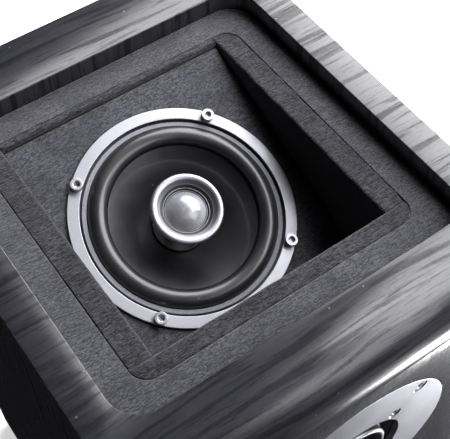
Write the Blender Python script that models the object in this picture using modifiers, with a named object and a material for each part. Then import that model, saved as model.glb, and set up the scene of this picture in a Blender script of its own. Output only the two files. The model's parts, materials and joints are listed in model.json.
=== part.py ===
"""Bookshelf loudspeaker with a second, upward-firing driver in a recessed, felt-lined top.

Frame: origin at the centre of the footprint, on the surface that the feet stand on.
+X is the listener's right when facing the front, -Y is the front, +Z is up. Metres.
Each driver is modelled about its own axis, in an empty's frame: local +Z looks out of the
cabinet and local height 0 is the driver's front face.
"""

import math
from collections import namedtuple

import bmesh
import bpy

# Driving dimensions
WIDTH = 0.210
DEPTH = 0.246
HEIGHT = 0.360
GAP = 0.0003

# Cabinet
FOOT_HEIGHT = 0.006
WALL = 0.0166
TOP_THICKNESS = 0.020
FRONT_ROUND = 0.020
FRONT_THICKNESS = 0.018
BACK_THICKNESS = 0.016

# Recess in the top, and the well inside it
RIM_BACK = 0.0335
RIM_FRONT = 0.0362
RECESS_CORNER = 0.015
RECESS_DEPTH = 0.010
FELT = 0.0012
SEAM_HALF = 0.0735
SEAM_FRONT = -0.0711
SEAM_BACK = 0.0742
SEAM_CORNER = 0.009
WELL_HALF = 0.0615
WELL_FRONT = -0.0616
WELL_BACK = 0.0703
LINING = 0.002
WELL_BOARD = 0.008

# Height driver: tilted forward, centred on the middle of its ring
TILT = math.radians(20)
RING_X = -0.0028
RING_Y = 0.0049
RING_DROP = 0.0346
BAFFLE_FACE = -0.0031
BAFFLE_THICKNESS = 0.012
BAFFLE_FRONT_END = -0.0738
BAFFLE_BACK_END = 0.0774
FELT_FACE = -0.0016

# Heights below the top of the other two units' centres
FRONT_UNIT_DROP = 0.0899
WOOFER_DROP = 0.230

# Height driver's trim and the small unit on its pole, heights from the ring's face
TRIM_OUTER = 0.0557
TRIM_INNER = 0.0499
TRIM_THICKNESS = 0.0028
GASKET_FACE = -0.0012
HEIGHT_SCREW_CIRCLE = 0.053
HEIGHT_PILOT = 0.0019

# Front unit behind its round metal plate
PLATE_RADIUS = 0.057
PLATE_HOLE = 0.0301
PLATE_THICKNESS = 0.0032
FRONT_SCREW_CIRCLE = 0.0524
FRONT_PILOT = 0.0020
UNIT_FLANGE_RADIUS = 0.0385

# Back panel fittings
PORT_HEIGHT = 0.200
PORT_FLANGE_RADIUS = 0.038
PORT_FLANGE = 0.0027
PORT_THROAT_RADIUS = 0.0304
TERMINAL_HEIGHT = 0.095
CUP_FLANGE = 0.0025
CUP_FLANGE_HALF_WIDTH = 0.060
CUP_FLANGE_HALF_HEIGHT = 0.030
CUP_HALF_WIDTH = 0.052
CUP_HALF_HEIGHT = 0.022
CUP_DEPTH = 0.030
POST_PLACES = (-0.0333, -0.0143, 0.0143, 0.0333)

# Feet
FOOT_RADIUS = 0.0110
FOOT_THICKNESS = 0.0057
FOOT_X = 0.085
FOOT_Y = 0.100

# Fineness of round pieces
FINE_STEPS = 64
LARGE_STEPS = 32
MEDIUM_STEPS = 24
SMALL_STEPS = 16
ROLL_POINTS = 5
FRONT_ROUND_STEPS = 20
CORNER_STEPS = 10

TOP = HEIGHT
INNER_HALF = WIDTH / 2 - WALL
FRONT = -DEPTH / 2
BACK = DEPTH / 2
PAST = 0.01
LEDGE = TOP - RECESS_DEPTH - FELT - GAP
TOP_UNDERSIDE = TOP - TOP_THICKNESS
FLOOR = FOOT_HEIGHT + WALL

Look = namedtuple("Look", "colour roughness metallic")
LOOKS = {
    "black_ash_vinyl": Look((0.030, 0.030, 0.034), 0.45, 0.0),
    "fibreboard": Look((0.30, 0.22, 0.14), 0.85, 0.0),
    "black_felt": Look((0.028, 0.028, 0.032), 0.95, 0.0),
    "silver_metal": Look((0.72, 0.72, 0.75), 0.30, 1.0),
    "grey_frame": Look((0.16, 0.16, 0.18), 0.40, 0.6),
    "black_basket": Look((0.02, 0.02, 0.02), 0.50, 0.5),
    "black_rubber": Look((0.012, 0.012, 0.013), 0.35, 0.0),
    "cone_black": Look((0.015, 0.015, 0.017), 0.25, 0.0),
    "dome_grey": Look((0.20, 0.20, 0.21), 0.20, 0.0),
    "black_plastic": Look((0.018, 0.018, 0.020), 0.45, 0.0),
    "red_plastic": Look((0.45, 0.02, 0.02), 0.35, 0.0),
    "screw_steel": Look((0.45, 0.45, 0.47), 0.30, 1.0),
    "plain_steel": Look((0.50, 0.50, 0.50), 0.40, 1.0),
    "ferrite": Look((0.06, 0.06, 0.06), 0.70, 0.0),
    "coil_copper": Look((0.60, 0.30, 0.15), 0.35, 1.0),
    "spider_cloth": Look((0.55, 0.42, 0.20), 0.90, 0.0),
    "gold_plate": Look((0.80, 0.60, 0.25), 0.25, 1.0),
    "foot_rubber": Look((0.02, 0.02, 0.02), 0.80, 0.0),
    "circuit_board": Look((0.05, 0.20, 0.08), 0.60, 0.0),
}

DriverSizes = namedtuple(
    "DriverSizes",
    "prefix flange_radius flange_top flange_thickness landing_radius landing_height mouth_radius "
    "bowl_radius bowl_straight plate_radius plate_top plate_thickness gap_radius "
    "foot_width roll_inner roll_outer roll_height foot_thickness "
    "neck_radius neck_height former_radius former_bottom spider_height spider_radius "
    "magnet_inner magnet_outer magnet_thickness yoke_radius yoke_thickness pole_radius pole_bore",
)

HEIGHT_DRIVER = DriverSizes(
    prefix="height", flange_radius=0.0555, flange_top=BAFFLE_FACE, flange_thickness=0.0024,
    landing_radius=0.0487, landing_height=BAFFLE_FACE, mouth_radius=0.0460,
    bowl_radius=0.0497, bowl_straight=0.0055, plate_radius=0.0365, plate_top=-0.0300,
    plate_thickness=0.0030, gap_radius=0.0139,
    foot_width=0.0022, roll_inner=0.0368, roll_outer=0.0462, roll_height=0.0038,
    foot_thickness=0.0007, neck_radius=0.0135, neck_height=-0.0185,
    former_radius=0.0132, former_bottom=-0.0400, spider_height=-0.0245, spider_radius=0.0370,
    magnet_inner=0.0165, magnet_outer=0.0350, magnet_thickness=0.010,
    yoke_radius=0.0330, yoke_thickness=0.004, pole_radius=0.0119, pole_bore=0.0046,
)

WOOFER = DriverSizes(
    prefix="woofer", flange_radius=0.0750, flange_top=0.0, flange_thickness=0.0040,
    landing_radius=0.0638, landing_height=-0.0062, mouth_radius=0.0600,
    bowl_radius=0.0665, bowl_straight=0.0080, plate_radius=0.0470, plate_top=-0.0480,
    plate_thickness=0.0050, gap_radius=0.0171,
    foot_width=0.0030, roll_inner=0.0500, roll_outer=0.0604, roll_height=0.0046,
    foot_thickness=0.0007, neck_radius=0.0168, neck_height=-0.0270,
    former_radius=0.0165, former_bottom=-0.0640, spider_height=-0.0340, spider_radius=0.0500,
    magnet_inner=0.0200, magnet_outer=0.0450, magnet_thickness=0.016,
    yoke_radius=0.0420, yoke_thickness=0.006, pole_radius=0.0150, pole_bore=0.0050,
)

BOWL_SKIN = 0.0020
CONE_SKIN = 0.0008
ROLL_SKIN = 0.0006
FORMER_SKIN = 0.0005


# Scene, materials and placing

def clear_scene():
    for obj in list(bpy.data.objects):
        bpy.data.objects.remove(obj)


def collection(name):
    made = bpy.data.collections.new(name)
    bpy.context.scene.collection.children.link(made)
    return made


def material(name):
    """The Principled material of that name, made on first use."""
    if name in bpy.data.materials:
        return bpy.data.materials[name]
    look = LOOKS[name]
    made = bpy.data.materials.new(name)
    made.use_nodes = True
    shader = made.node_tree.nodes["Principled BSDF"]
    shader.inputs["Base Color"].default_value = (*look.colour, 1.0)
    shader.inputs["Roughness"].default_value = look.roughness
    shader.inputs["Metallic"].default_value = look.metallic
    return made


def frame_empty(name, location, tilt):
    """An empty whose local +Z is world +Z turned by that angle about X."""
    empty = bpy.data.objects.new(name, None)
    PARTS.objects.link(empty)
    empty.location = location
    empty.rotation_euler = (tilt, 0.0, 0.0)
    return empty


def place(name, mesh, look, parent=None, location=(0, 0, 0), rotation=(0, 0, 0)):
    """A named part: the mesh in its material, placed in its parent's frame."""
    obj = bpy.data.objects.new(name, mesh)
    PARTS.objects.link(obj)
    if look:
        mesh.materials.clear()
        mesh.materials.append(material(look))
    obj.parent = parent
    obj.location = location
    obj.rotation_euler = rotation
    return obj


def as_cutter(obj):
    """Moves a shape to the cutters, which are shown as wires and never rendered."""
    PARTS.objects.unlink(obj)
    CUTTERS.objects.link(obj)
    obj.hide_render = True
    obj.display_type = "WIRE"
    return obj


def combine(target, other, operation):
    """Cuts, joins or keeps the shared part of two shapes with an exact Boolean."""
    modifier = target.modifiers.new(other.name, "BOOLEAN")
    modifier.operation = operation
    modifier.object = as_cutter(other)
    modifier.solver = "EXACT"


def cut(target, *cutters):
    for cutter in cutters:
        combine(target, cutter, "DIFFERENCE")


def join(target, *others):
    for other in others:
        combine(target, other, "UNION")


# Shapes

def box_mesh(name, size):
    form = bmesh.new()
    bmesh.ops.create_cube(form, size=1.0)
    bmesh.ops.scale(form, vec=size, verts=form.verts)
    mesh = bpy.data.meshes.new(name)
    form.to_mesh(mesh)
    form.free()
    return mesh


def box(name, low, high, look, parent=None):
    """A box between two corners of its parent's frame."""
    size = [b - a for a, b in zip(low, high)]
    centre = [(a + b) / 2 for a, b in zip(low, high)]
    return place(name, box_mesh(name, size), look, parent, centre)


def rod(name, radius, low, high, look=None, parent=None, centre=(0, 0), steps=SMALL_STEPS):
    """A cylinder along local Z between two heights, with a flat and not a corner towards +X."""
    form = bmesh.new()
    bmesh.ops.create_cone(
        form, cap_ends=True, segments=steps, radius1=radius, radius2=radius, depth=high - low
    )
    mesh = bpy.data.meshes.new(name)
    form.to_mesh(mesh)
    form.free()
    return place(name, mesh, look, parent, (*centre, (low + high) / 2), (0, 0, math.pi / steps))


def turned(name, outline, look, parent=None, steps=LARGE_STEPS, hollow=True, location=(0, 0, 0)):
    """A solid turned about local Z. The outline's (radius, height) points run outward over the
    top and down the outer side; a hollow one closes on itself, another starts and ends on the axis."""
    mesh = bpy.data.meshes.new(name)
    points = [(radius, 0.0, height) for radius, height in outline]
    edges = [(i, i + 1) for i in range(len(points) - 1)]
    if hollow:
        edges.append((len(points) - 1, 0))
    mesh.from_pydata(points, edges, [])
    obj = place(name, mesh, look, parent, location)
    screw = obj.modifiers.new("Turn", "SCREW")
    screw.steps = steps
    screw.render_steps = steps
    screw.use_smooth_shade = True
    screw.use_merge_vertices = True
    screw.merge_threshold = 0.00001
    return obj


def arc(centre, radius, start, end, steps):
    """Points on a circle between two angles in degrees, both ends included."""
    points = []
    for i in range(steps + 1):
        angle = math.radians(start + (end - start) * i / steps)
        points.append((centre[0] + radius * math.cos(angle), centre[1] + radius * math.sin(angle)))
    return points


def rounded_rectangle(left, right, low, high, corners):
    """Anticlockwise outline; corners gives the four radii from low right round to low left."""
    spots = ((right, low, -90), (right, high, 0), (left, high, 90), (left, low, 180))
    points = []
    for (x, y, start), radius in zip(spots, corners):
        if not radius:
            points.append((x, y))
            continue
        inward_x = -radius if x == right else radius
        inward_y = radius if y == low else -radius
        points += arc((x + inward_x, y + inward_y), radius, start, start + 90, CORNER_STEPS)
    return points


def plate(name, loops, thickness, look, parent=None, location=(0, 0, 0), rotation=(0, 0, 0)):
    """A flat outline with its holes, given thickness either side of its own plane."""
    curve = bpy.data.curves.new(name, "CURVE")
    curve.dimensions = "2D"
    curve.fill_mode = "BOTH"
    curve.extrude = thickness / 2
    for loop in loops:
        spline = curve.splines.new("POLY")
        spline.points.add(len(loop) - 1)
        for point, (x, y) in zip(spline.points, loop):
            point.co = (x, y, 0.0, 1.0)
        spline.use_cyclic_u = True
    outline = bpy.data.objects.new(name + "_outline", curve)
    PARTS.objects.link(outline)
    bpy.context.view_layer.update()
    evaluated = outline.evaluated_get(bpy.context.evaluated_depsgraph_get())
    mesh = bpy.data.meshes.new_from_object(evaluated)
    bpy.data.objects.remove(outline)
    form = bmesh.new()
    form.from_mesh(mesh)
    bmesh.ops.remove_doubles(form, verts=form.verts, dist=0.00001)
    bmesh.ops.recalc_face_normals(form, faces=form.faces)
    form.to_mesh(mesh)
    form.free()
    mesh.name = name
    return place(name, mesh, look, parent, location, rotation)


def baked(obj, name):
    """Replaces an object by a plain mesh of what its modifiers make, for copies to share."""
    bpy.context.view_layer.update()
    evaluated = obj.evaluated_get(bpy.context.evaluated_depsgraph_get())
    mesh = bpy.data.meshes.new_from_object(evaluated)
    mesh.name = name
    bpy.data.objects.remove(obj)
    return mesh


SIDEWAYS = (math.pi / 2, 0.0, math.pi / 2)


def on_baffle(y, height):
    """World Z of the tilted plane that lies that high over the height driver's ring face."""
    slope = math.tan(TILT)
    return TOP - RING_DROP + (y - RING_Y) * slope + height / math.cos(TILT)


# Cabinet

def recess_outline(inset):
    radius = RECESS_CORNER - inset
    return rounded_rectangle(
        -INNER_HALF + inset, INNER_HALF - inset,
        FRONT + RIM_FRONT + inset, BACK - RIM_BACK - inset, (radius,) * 4,
    )


def build_cabinet_shell():
    """Top, sides and bottom, folded from one wrapped board; its top is pocketed for the felt."""
    side = [(BACK, FOOT_HEIGHT), (BACK, TOP)]
    side += arc((FRONT + FRONT_ROUND, TOP - FRONT_ROUND), FRONT_ROUND, 90, 180, FRONT_ROUND_STEPS)
    side.append((FRONT, FOOT_HEIGHT))
    shell = plate("cabinet_shell", [side], WIDTH, "black_ash_vinyl", rotation=SIDEWAYS)
    hollow = box("shell_hollow", (-INNER_HALF, FRONT - PAST, FLOOR), (INNER_HALF, BACK + PAST, TOP_UNDERSIDE),
                 None)
    pocket_height = 0.02
    pocket = plate(
        "recess_pocket", [recess_outline(0.0)], pocket_height, None,
        location=(0, 0, LEDGE + pocket_height / 2),
    )
    reach = LINING + GAP
    well = box(
        "well_opening", (-WELL_HALF - reach, WELL_FRONT - reach, TOP_UNDERSIDE - PAST),
        (WELL_HALF + reach, WELL_BACK + reach, TOP), None,
    )
    cut(shell, hollow, pocket, well)


def build_front_baffle():
    """Inset front board, rebated for the two units that sit flush in it."""
    half = INNER_HALF - GAP
    board = box(
        "front_baffle", (-half, FRONT, FLOOR + GAP), (half, FRONT + FRONT_THICKNESS, TOP_UNDERSIDE - GAP),
        "black_ash_vinyl",
    )
    through = -FRONT_THICKNESS - PAST
    cut(
        board,
        rod("front_plate_rebate", PLATE_RADIUS + 0.0006, -PLATE_THICKNESS - GAP, PAST, None, FRONT_AXIS,
            steps=FINE_STEPS),
        rod("front_unit_hole", UNIT_FLANGE_RADIUS + 0.0006, through, PAST, None, FRONT_AXIS,
            steps=LARGE_STEPS),
        rod("woofer_rebate", WOOFER.flange_radius + 0.0005, -WOOFER.flange_thickness - GAP, PAST, None,
            WOOFER_AXIS, steps=FINE_STEPS),
        rod("woofer_hole", WOOFER.bowl_radius + 0.0006, through, PAST, None, WOOFER_AXIS,
            steps=LARGE_STEPS),
    )
    for i, spot in enumerate(screw_circle(FRONT_SCREW_CIRCLE)):
        cut(board, rod(f"front_pilot_{i}", FRONT_PILOT, through, PAST, None, FRONT_AXIS, spot))


def build_back_panel():
    """Inset back board with the port's and the terminal cup's openings."""
    half = INNER_HALF - GAP
    board = box(
        "back_panel", (-half, BACK - BACK_THICKNESS, FLOOR + GAP), (half, BACK, TOP_UNDERSIDE - GAP),
        "black_ash_vinyl",
    )
    through = -BACK_THICKNESS - PAST
    wide = CUP_FLANGE_HALF_WIDTH + 0.0005
    tall = CUP_FLANGE_HALF_HEIGHT + 0.0005
    cup_wide = CUP_HALF_WIDTH + 0.0005
    cup_tall = CUP_HALF_HEIGHT + 0.0005
    cut(
        board,
        rod("port_rebate", PORT_FLANGE_RADIUS + 0.0005, -PORT_FLANGE - GAP, PAST, None, PORT_AXIS,
            steps=FINE_STEPS),
        rod("port_hole", PORT_THROAT_RADIUS + 0.0004, through, PAST, None, PORT_AXIS,
            steps=LARGE_STEPS),
        box("terminal_rebate", (-wide, -tall, -CUP_FLANGE - GAP), (wide, tall, PAST), None, CUP_AXIS),
        box("terminal_hole", (-cup_wide, -cup_tall, through), (cup_wide, cup_tall, PAST), None, CUP_AXIS),
    )


def build_feet():
    """Four turned feet, a little narrower where they meet the cabinet and at the rim they stand on."""
    outline = [
        (0, FOOT_THICKNESS), (FOOT_RADIUS * 0.86, FOOT_THICKNESS), (FOOT_RADIUS, FOOT_THICKNESS * 0.25),
        (FOOT_RADIUS * 0.95, 0), (0, 0),
    ]
    for depth, y in (("front", -FOOT_Y), ("back", FOOT_Y)):
        for side, x in (("left", -FOOT_X), ("right", FOOT_X)):
            turned(f"foot_{depth}_{side}", outline, "foot_rubber", steps=SMALL_STEPS, hollow=False,
                   location=(x, y, 0))


def build_crossover():
    """Filter board on the cabinet floor, with its coils, capacitors and resistor."""
    top = FLOOR + GAP + 0.0016
    board = box("crossover_board", (-0.055, 0.000, FLOOR + GAP), (0.055, 0.080, top), "circuit_board")
    sunk = top - 0.0008
    parts = [
        rod("filter_coil_large", 0.018, sunk, top + 0.014, None, centre=(-0.032, 0.056)),
        rod("filter_coil_small", 0.013, sunk, top + 0.010, None, centre=(0.036, 0.060)),
        rod("filter_capacitor_large", 0.009, sunk, top + 0.024, None, centre=(-0.038, 0.018)),
        rod("filter_capacitor_small", 0.007, sunk, top + 0.018, None, centre=(-0.012, 0.016)),
        box("filter_resistor", (0.012, 0.012, sunk), (0.048, 0.022, top + 0.009), None),
    ]
    join(board, *parts)


# Well

def build_well_boards():
    """Two cheeks and a front wall hang under the ledge; the tilted baffle closes the bottom. Its back
    end is cut upright where it rises into the opening."""
    reach = LINING + GAP
    inner = WELL_HALF + reach
    front = WELL_FRONT - reach
    back_end = WELL_BACK + 0.0132
    under = BAFFLE_FACE - BAFFLE_THICKNESS - 0.001
    high = TOP_UNDERSIDE - GAP
    outline = [
        (front - WELL_BOARD, on_baffle(front - WELL_BOARD, under)), (back_end, on_baffle(back_end, under)),
        (back_end, high), (front - WELL_BOARD, high),
    ]
    for side, sign in (("left", -1), ("right", 1)):
        plate(f"well_cheek_{side}", [outline], WELL_BOARD, "fibreboard",
              location=(sign * (inner + WELL_BOARD / 2), 0, 0), rotation=SIDEWAYS)
    half = inner - GAP
    box("well_front_wall", (-half, front - WELL_BOARD, on_baffle(front, under)), (half, front, high),
        "fibreboard")
    baffle = box(
        "height_baffle", (-half, BAFFLE_FRONT_END, BAFFLE_FACE - BAFFLE_THICKNESS),
        (half, BAFFLE_BACK_END, BAFFLE_FACE), "fibreboard", TILTED_AXIS,
    )
    rebate_depth = HEIGHT_DRIVER.flange_thickness + GAP
    through = -BAFFLE_THICKNESS - PAST
    back = WELL_BACK + LINING
    cut(
        baffle,
        box("height_baffle_end", (-WIDTH, back, high), (WIDTH, BACK, TOP), None),
        rod("height_rebate", HEIGHT_DRIVER.flange_radius + 0.0004, BAFFLE_FACE - rebate_depth, PAST, None,
            HEIGHT_AXIS, steps=LARGE_STEPS),
        rod("height_hole", HEIGHT_DRIVER.bowl_radius + 0.0006, through, PAST, None, HEIGHT_AXIS,
            steps=LARGE_STEPS),
    )
    for i, spot in enumerate(screw_circle(HEIGHT_SCREW_CIRCLE)):
        cut(baffle, rod(f"height_pilot_{i}", HEIGHT_PILOT, through, PAST, None, HEIGHT_AXIS, spot))


def build_deck_felt():
    """Flat felt on the recess floor, from the recess wall in to the seam round the well."""
    inner = rounded_rectangle(-SEAM_HALF, SEAM_HALF, SEAM_FRONT, SEAM_BACK, (SEAM_CORNER,) * 4)
    plate("deck_felt", [recess_outline(GAP), inner], FELT, "black_felt",
          location=(0, 0, TOP - RECESS_DEPTH - FELT / 2))


def build_baffle_felt():
    """Felt over the tilted baffle, with a hole round the driver's trim ring."""
    half = WELL_HALF - GAP
    front = (WELL_FRONT + GAP - RING_Y + FELT_FACE * math.sin(TILT)) / math.cos(TILT)
    back = (WELL_BACK - GAP - RING_Y + (FELT_FACE - FELT) * math.sin(TILT)) / math.cos(TILT)
    hole = arc((RING_X, 0), TRIM_OUTER + 0.0005, 0, 360 - 360 / FINE_STEPS, FINE_STEPS - 1)
    outline = rounded_rectangle(-half, half, front, back, (0, 0, 0, 0))
    plate("height_baffle_felt", [outline, hole], FELT, "black_felt", TILTED_AXIS,
          location=(0, 0, FELT_FACE - FELT / 2))


def lip_strip(name, outline, wall_low, wall_high):
    """A felt strip that lies on the ledge and folds down the well's wall to the tilted felt."""
    level = TOP - RECESS_DEPTH - FELT / 2
    strip = plate(name, [outline], FELT, "black_felt", location=(0, 0, level))
    wall = box(name + "_fold", (*wall_low, TOP - 0.09), (*wall_high, TOP - RECESS_DEPTH), None)
    join(strip, wall)
    reach = 0.12
    below = box(name + "_trim", (-reach, -reach, FELT_FACE + GAP - reach), (reach, reach, FELT_FACE + GAP),
                None, TILTED_AXIS)
    cut(strip, below)


def build_lip_strips():
    outer = SEAM_HALF - GAP
    front = SEAM_FRONT + GAP
    back = SEAM_BACK - GAP
    corner = SEAM_CORNER - GAP
    strip_front = WELL_FRONT + GAP
    lip_strip(
        "lip_felt_front",
        rounded_rectangle(-outer, outer, front, WELL_FRONT, (corner, 0, 0, corner)),
        (-WELL_HALF - LINING, WELL_FRONT - LINING), (WELL_HALF + LINING, WELL_FRONT),
    )
    lip_strip(
        "lip_felt_right", rounded_rectangle(WELL_HALF, outer, strip_front, back, (0, corner, 0, 0)),
        (WELL_HALF, strip_front), (WELL_HALF + LINING, WELL_BACK + LINING),
    )
    lip_strip(
        "lip_felt_left", rounded_rectangle(-outer, -WELL_HALF, strip_front, back, (0, 0, corner, 0)),
        (-WELL_HALF - LINING, strip_front), (-WELL_HALF, WELL_BACK + LINING),
    )
    inner = WELL_HALF - GAP
    lip_strip(
        "lip_felt_back", rounded_rectangle(-inner, inner, WELL_BACK, back, (0, 0, 0, 0)),
        (-inner, WELL_BACK), (inner, WELL_BACK + LINING),
    )


# Drivers

def screw_circle(radius):
    """Four places on a circle, at 45 degrees to the axes."""
    return [(radius * math.cos(a), radius * math.sin(a)) for a in map(math.radians, (45, 135, 225, 315))]


def build_basket(sizes, axis):
    """Flange, bowl with six windows, and the steel plate under it that the magnet is glued to."""
    under = sizes.flange_top - sizes.flange_thickness
    shoulder = under - sizes.bowl_straight
    plate_low = sizes.plate_top - sizes.plate_thickness
    landing_low = sizes.landing_height - sizes.flange_thickness
    inner = sizes.bowl_radius - BOWL_SKIN
    outline = [
        (sizes.flange_radius, sizes.flange_top), (sizes.flange_radius, under), (sizes.bowl_radius, under),
        (sizes.bowl_radius, shoulder), (sizes.plate_radius, plate_low), (sizes.gap_radius, plate_low),
        (sizes.gap_radius, sizes.plate_top), (sizes.plate_radius - BOWL_SKIN, sizes.plate_top),
        (inner, min(shoulder, landing_low - BOWL_SKIN)), (inner, landing_low),
        (sizes.mouth_radius, landing_low), (sizes.mouth_radius, sizes.landing_height),
    ]
    if sizes.landing_height < sizes.flange_top:
        outline.append((sizes.landing_radius, sizes.landing_height))
        outline.append((sizes.landing_radius, sizes.flange_top))
    frame = turned(f"{sizes.prefix}_basket", outline, "black_basket", axis)
    middle = (shoulder + sizes.plate_top) / 2
    window = (4 * sizes.bowl_radius, sizes.plate_radius * 0.55, (shoulder - sizes.plate_top) * 0.5)
    for i in range(3):
        name = f"{sizes.prefix}_window_{i}"
        bar = place(name, box_mesh(name, window), None, axis, (0, 0, middle), (0, 0, math.radians(60 * i)))
        cut(frame, bar)
    return frame


def build_surround(sizes, axis):
    """Half-roll rubber ring: a foot on the basket, the roll, and a foot that meets the cone."""
    base = sizes.landing_height + GAP + sizes.foot_thickness
    middle = (sizes.roll_inner + sizes.roll_outer) / 2
    radius = (sizes.roll_outer - sizes.roll_inner) / 2
    outer = [
        (middle + radius * math.cos(a), base + sizes.roll_height * math.sin(a))
        for a in (math.pi * (1 - i / ROLL_POINTS) for i in range(ROLL_POINTS + 1))
    ]
    inner_radius = radius - ROLL_SKIN
    inner = [
        (middle + inner_radius * math.cos(a), base - ROLL_SKIN + sizes.roll_height * math.sin(a))
        for a in (math.pi * i / ROLL_POINTS for i in range(ROLL_POINTS + 1))
    ]
    foot = sizes.roll_outer + sizes.foot_width
    outline = outer + [(foot, base), (foot, base - ROLL_SKIN)] + inner
    outline.append((sizes.roll_inner, base - ROLL_SKIN))
    turned(f"{sizes.prefix}_surround", outline, "black_rubber", axis)
    return base


def build_cone(sizes, axis, edge_height):
    """Thin cone with a gently flared wall, from the voice coil out to the surround."""
    edge = sizes.roll_inner - GAP
    points = 3
    wall = []
    for i in range(points + 1):
        along = i / points
        radius = sizes.neck_radius + (edge - sizes.neck_radius) * along
        wall.append((radius, sizes.neck_height + (edge_height - sizes.neck_height) * along ** 0.85))
    under = [(radius, height - CONE_SKIN) for radius, height in reversed(wall)]
    turned(f"{sizes.prefix}_cone", wall + under, "cone_black", axis)


def build_voice_coil(sizes, axis):
    """Former glued in the cone's neck, with its winding thickened at the lower end."""
    top = sizes.neck_height + 0.0015
    inner = sizes.former_radius - FORMER_SKIN
    outline = [
        (inner, top), (sizes.former_radius, top), (sizes.former_radius, sizes.former_bottom),
        (inner, sizes.former_bottom),
    ]
    turned(f"{sizes.prefix}_voice_coil", outline, "coil_copper", axis, steps=MEDIUM_STEPS)


def build_spider(sizes, axis):
    """Corrugated cloth ring that centres the voice coil."""
    inner = sizes.former_radius + 0.0005
    points = 5
    wave = 0.0008
    top = []
    for i in range(points + 1):
        radius = inner + (sizes.spider_radius - inner) * i / points
        top.append((radius, sizes.spider_height + wave * (-1) ** i))
    under = [(radius, height - ROLL_SKIN) for radius, height in reversed(top)]
    turned(f"{sizes.prefix}_spider", top + under, "spider_cloth", axis, steps=SMALL_STEPS)


def build_magnet(sizes, axis):
    """Ferrite ring under the basket's plate, and the yoke whose pole stands up through both."""
    top = sizes.plate_top - sizes.plate_thickness - GAP
    low = top - sizes.magnet_thickness
    ring = [
        (sizes.magnet_inner, top), (sizes.magnet_outer, top), (sizes.magnet_outer, low),
        (sizes.magnet_inner, low),
    ]
    turned(f"{sizes.prefix}_magnet", ring, "ferrite", axis, steps=MEDIUM_STEPS)
    yoke_top = low - GAP
    yoke_low = yoke_top - sizes.yoke_thickness
    yoke = [
        (sizes.pole_bore, sizes.plate_top), (sizes.pole_radius, sizes.plate_top),
        (sizes.pole_radius, yoke_top), (sizes.yoke_radius, yoke_top), (sizes.yoke_radius, yoke_low),
        (sizes.pole_bore, yoke_low),
    ]
    turned(f"{sizes.prefix}_yoke", yoke, "plain_steel", axis, steps=MEDIUM_STEPS)


def build_driver(sizes, axis):
    """The pieces that every cone driver has. Returns the basket and the cone's edge height."""
    frame = build_basket(sizes, axis)
    edge_height = build_surround(sizes, axis)
    build_cone(sizes, axis, edge_height)
    build_voice_coil(sizes, axis)
    build_spider(sizes, axis)
    build_magnet(sizes, axis)
    return frame, edge_height


def dome_outline(radius, base, rise, skin):
    """Spherical cap of that rise over a base circle, as a thin skin."""
    ball = (radius ** 2 + rise ** 2) / (2 * rise)
    spread = math.degrees(math.asin(radius / ball))
    outer = arc((0, base + rise - ball), ball, 90, 90 - spread, 4)
    under = [(r, height - skin) for r, height in reversed(outer)]
    return [(abs(r), height) for r, height in outer + under]


def screw_mesh(name, head_radius, head_low, head_top, shank_radius, shank_low, countersunk):
    """Machine screw along local Z with a hexagon socket in its head."""
    head_edge = shank_radius if countersunk else head_radius
    outline = [
        (0, head_top), (head_radius * 0.86, head_top), (head_radius, head_top - head_radius * 0.16),
        (head_edge, head_low), (shank_radius, head_low), (shank_radius, shank_low), (0, shank_low),
    ]
    if countersunk:
        outline.remove((head_edge, head_low))
    screw = turned(name + "_shape", outline, "screw_steel", steps=SMALL_STEPS, hollow=False)
    depth = (head_top - head_low) * 0.6
    cut(screw, rod(name + "_socket", head_radius * 0.45, head_top - depth, head_top + depth, steps=6))
    return baked(screw, name)


def place_screws(prefix, mesh, axis, radius):
    for i, (x, y) in enumerate(screw_circle(radius)):
        place(f"{prefix}_screw_{i + 1}", mesh, "screw_steel", axis, (x, y, 0))


def build_height_driver():
    """Cone driver in the well, with a small dome unit standing on its pole."""
    frame, _ = build_driver(HEIGHT_DRIVER, HEIGHT_AXIS)
    bevel = 0.0004
    trim = turned("height_trim_ring", [
        (TRIM_INNER, -bevel), (TRIM_INNER + bevel, 0), (TRIM_OUTER - bevel, 0), (TRIM_OUTER, -bevel),
        (TRIM_OUTER, -TRIM_THICKNESS), (TRIM_INNER, -TRIM_THICKNESS),
    ], "silver_metal", HEIGHT_AXIS)
    for i, spot in enumerate(screw_circle(HEIGHT_SCREW_CIRCLE)):
        for piece, label in ((trim, "trim"), (frame, "flange")):
            cut(piece, rod(f"height_{label}_hole_{i}", HEIGHT_PILOT, -0.008, 0.004, None, HEIGHT_AXIS, spot,
                           steps=SMALL_STEPS // 2))
    gasket_low = BAFFLE_FACE + GAP + ROLL_SKIN + 2 * GAP
    turned("height_gasket", [
        (0.0465, GASKET_FACE), (0.0487, GASKET_FACE), (0.0487, gasket_low), (0.0465, gasket_low),
    ], "grey_frame", HEIGHT_AXIS)
    turned("height_tweeter_housing", [
        (0, 0.0030), (0.0106, 0.0030), (0.0106, 0.0058), (0.0113, 0.0064), (0.0143, 0.0090), (0.0165, 0.0092),
        (0.0178, 0.0082), (0.0172, 0.0060), (0.0120, -0.0050), (0.0075, -0.0075), (0.0042, -0.0090),
        (0.0042, -0.0470), (0, -0.0470),
    ], "black_plastic", HEIGHT_AXIS, hollow=False)
    turned("height_tweeter_dome", dome_outline(0.0098, 0.0050, 0.0042, 0.0006), "dome_grey", HEIGHT_AXIS,
           steps=MEDIUM_STEPS, hollow=False)
    mesh = screw_mesh("height_screw", 0.0031, GAP, 0.0031, 0.0016, -0.0140, countersunk=False)
    place_screws("height", mesh, HEIGHT_AXIS, HEIGHT_SCREW_CIRCLE)


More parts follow.
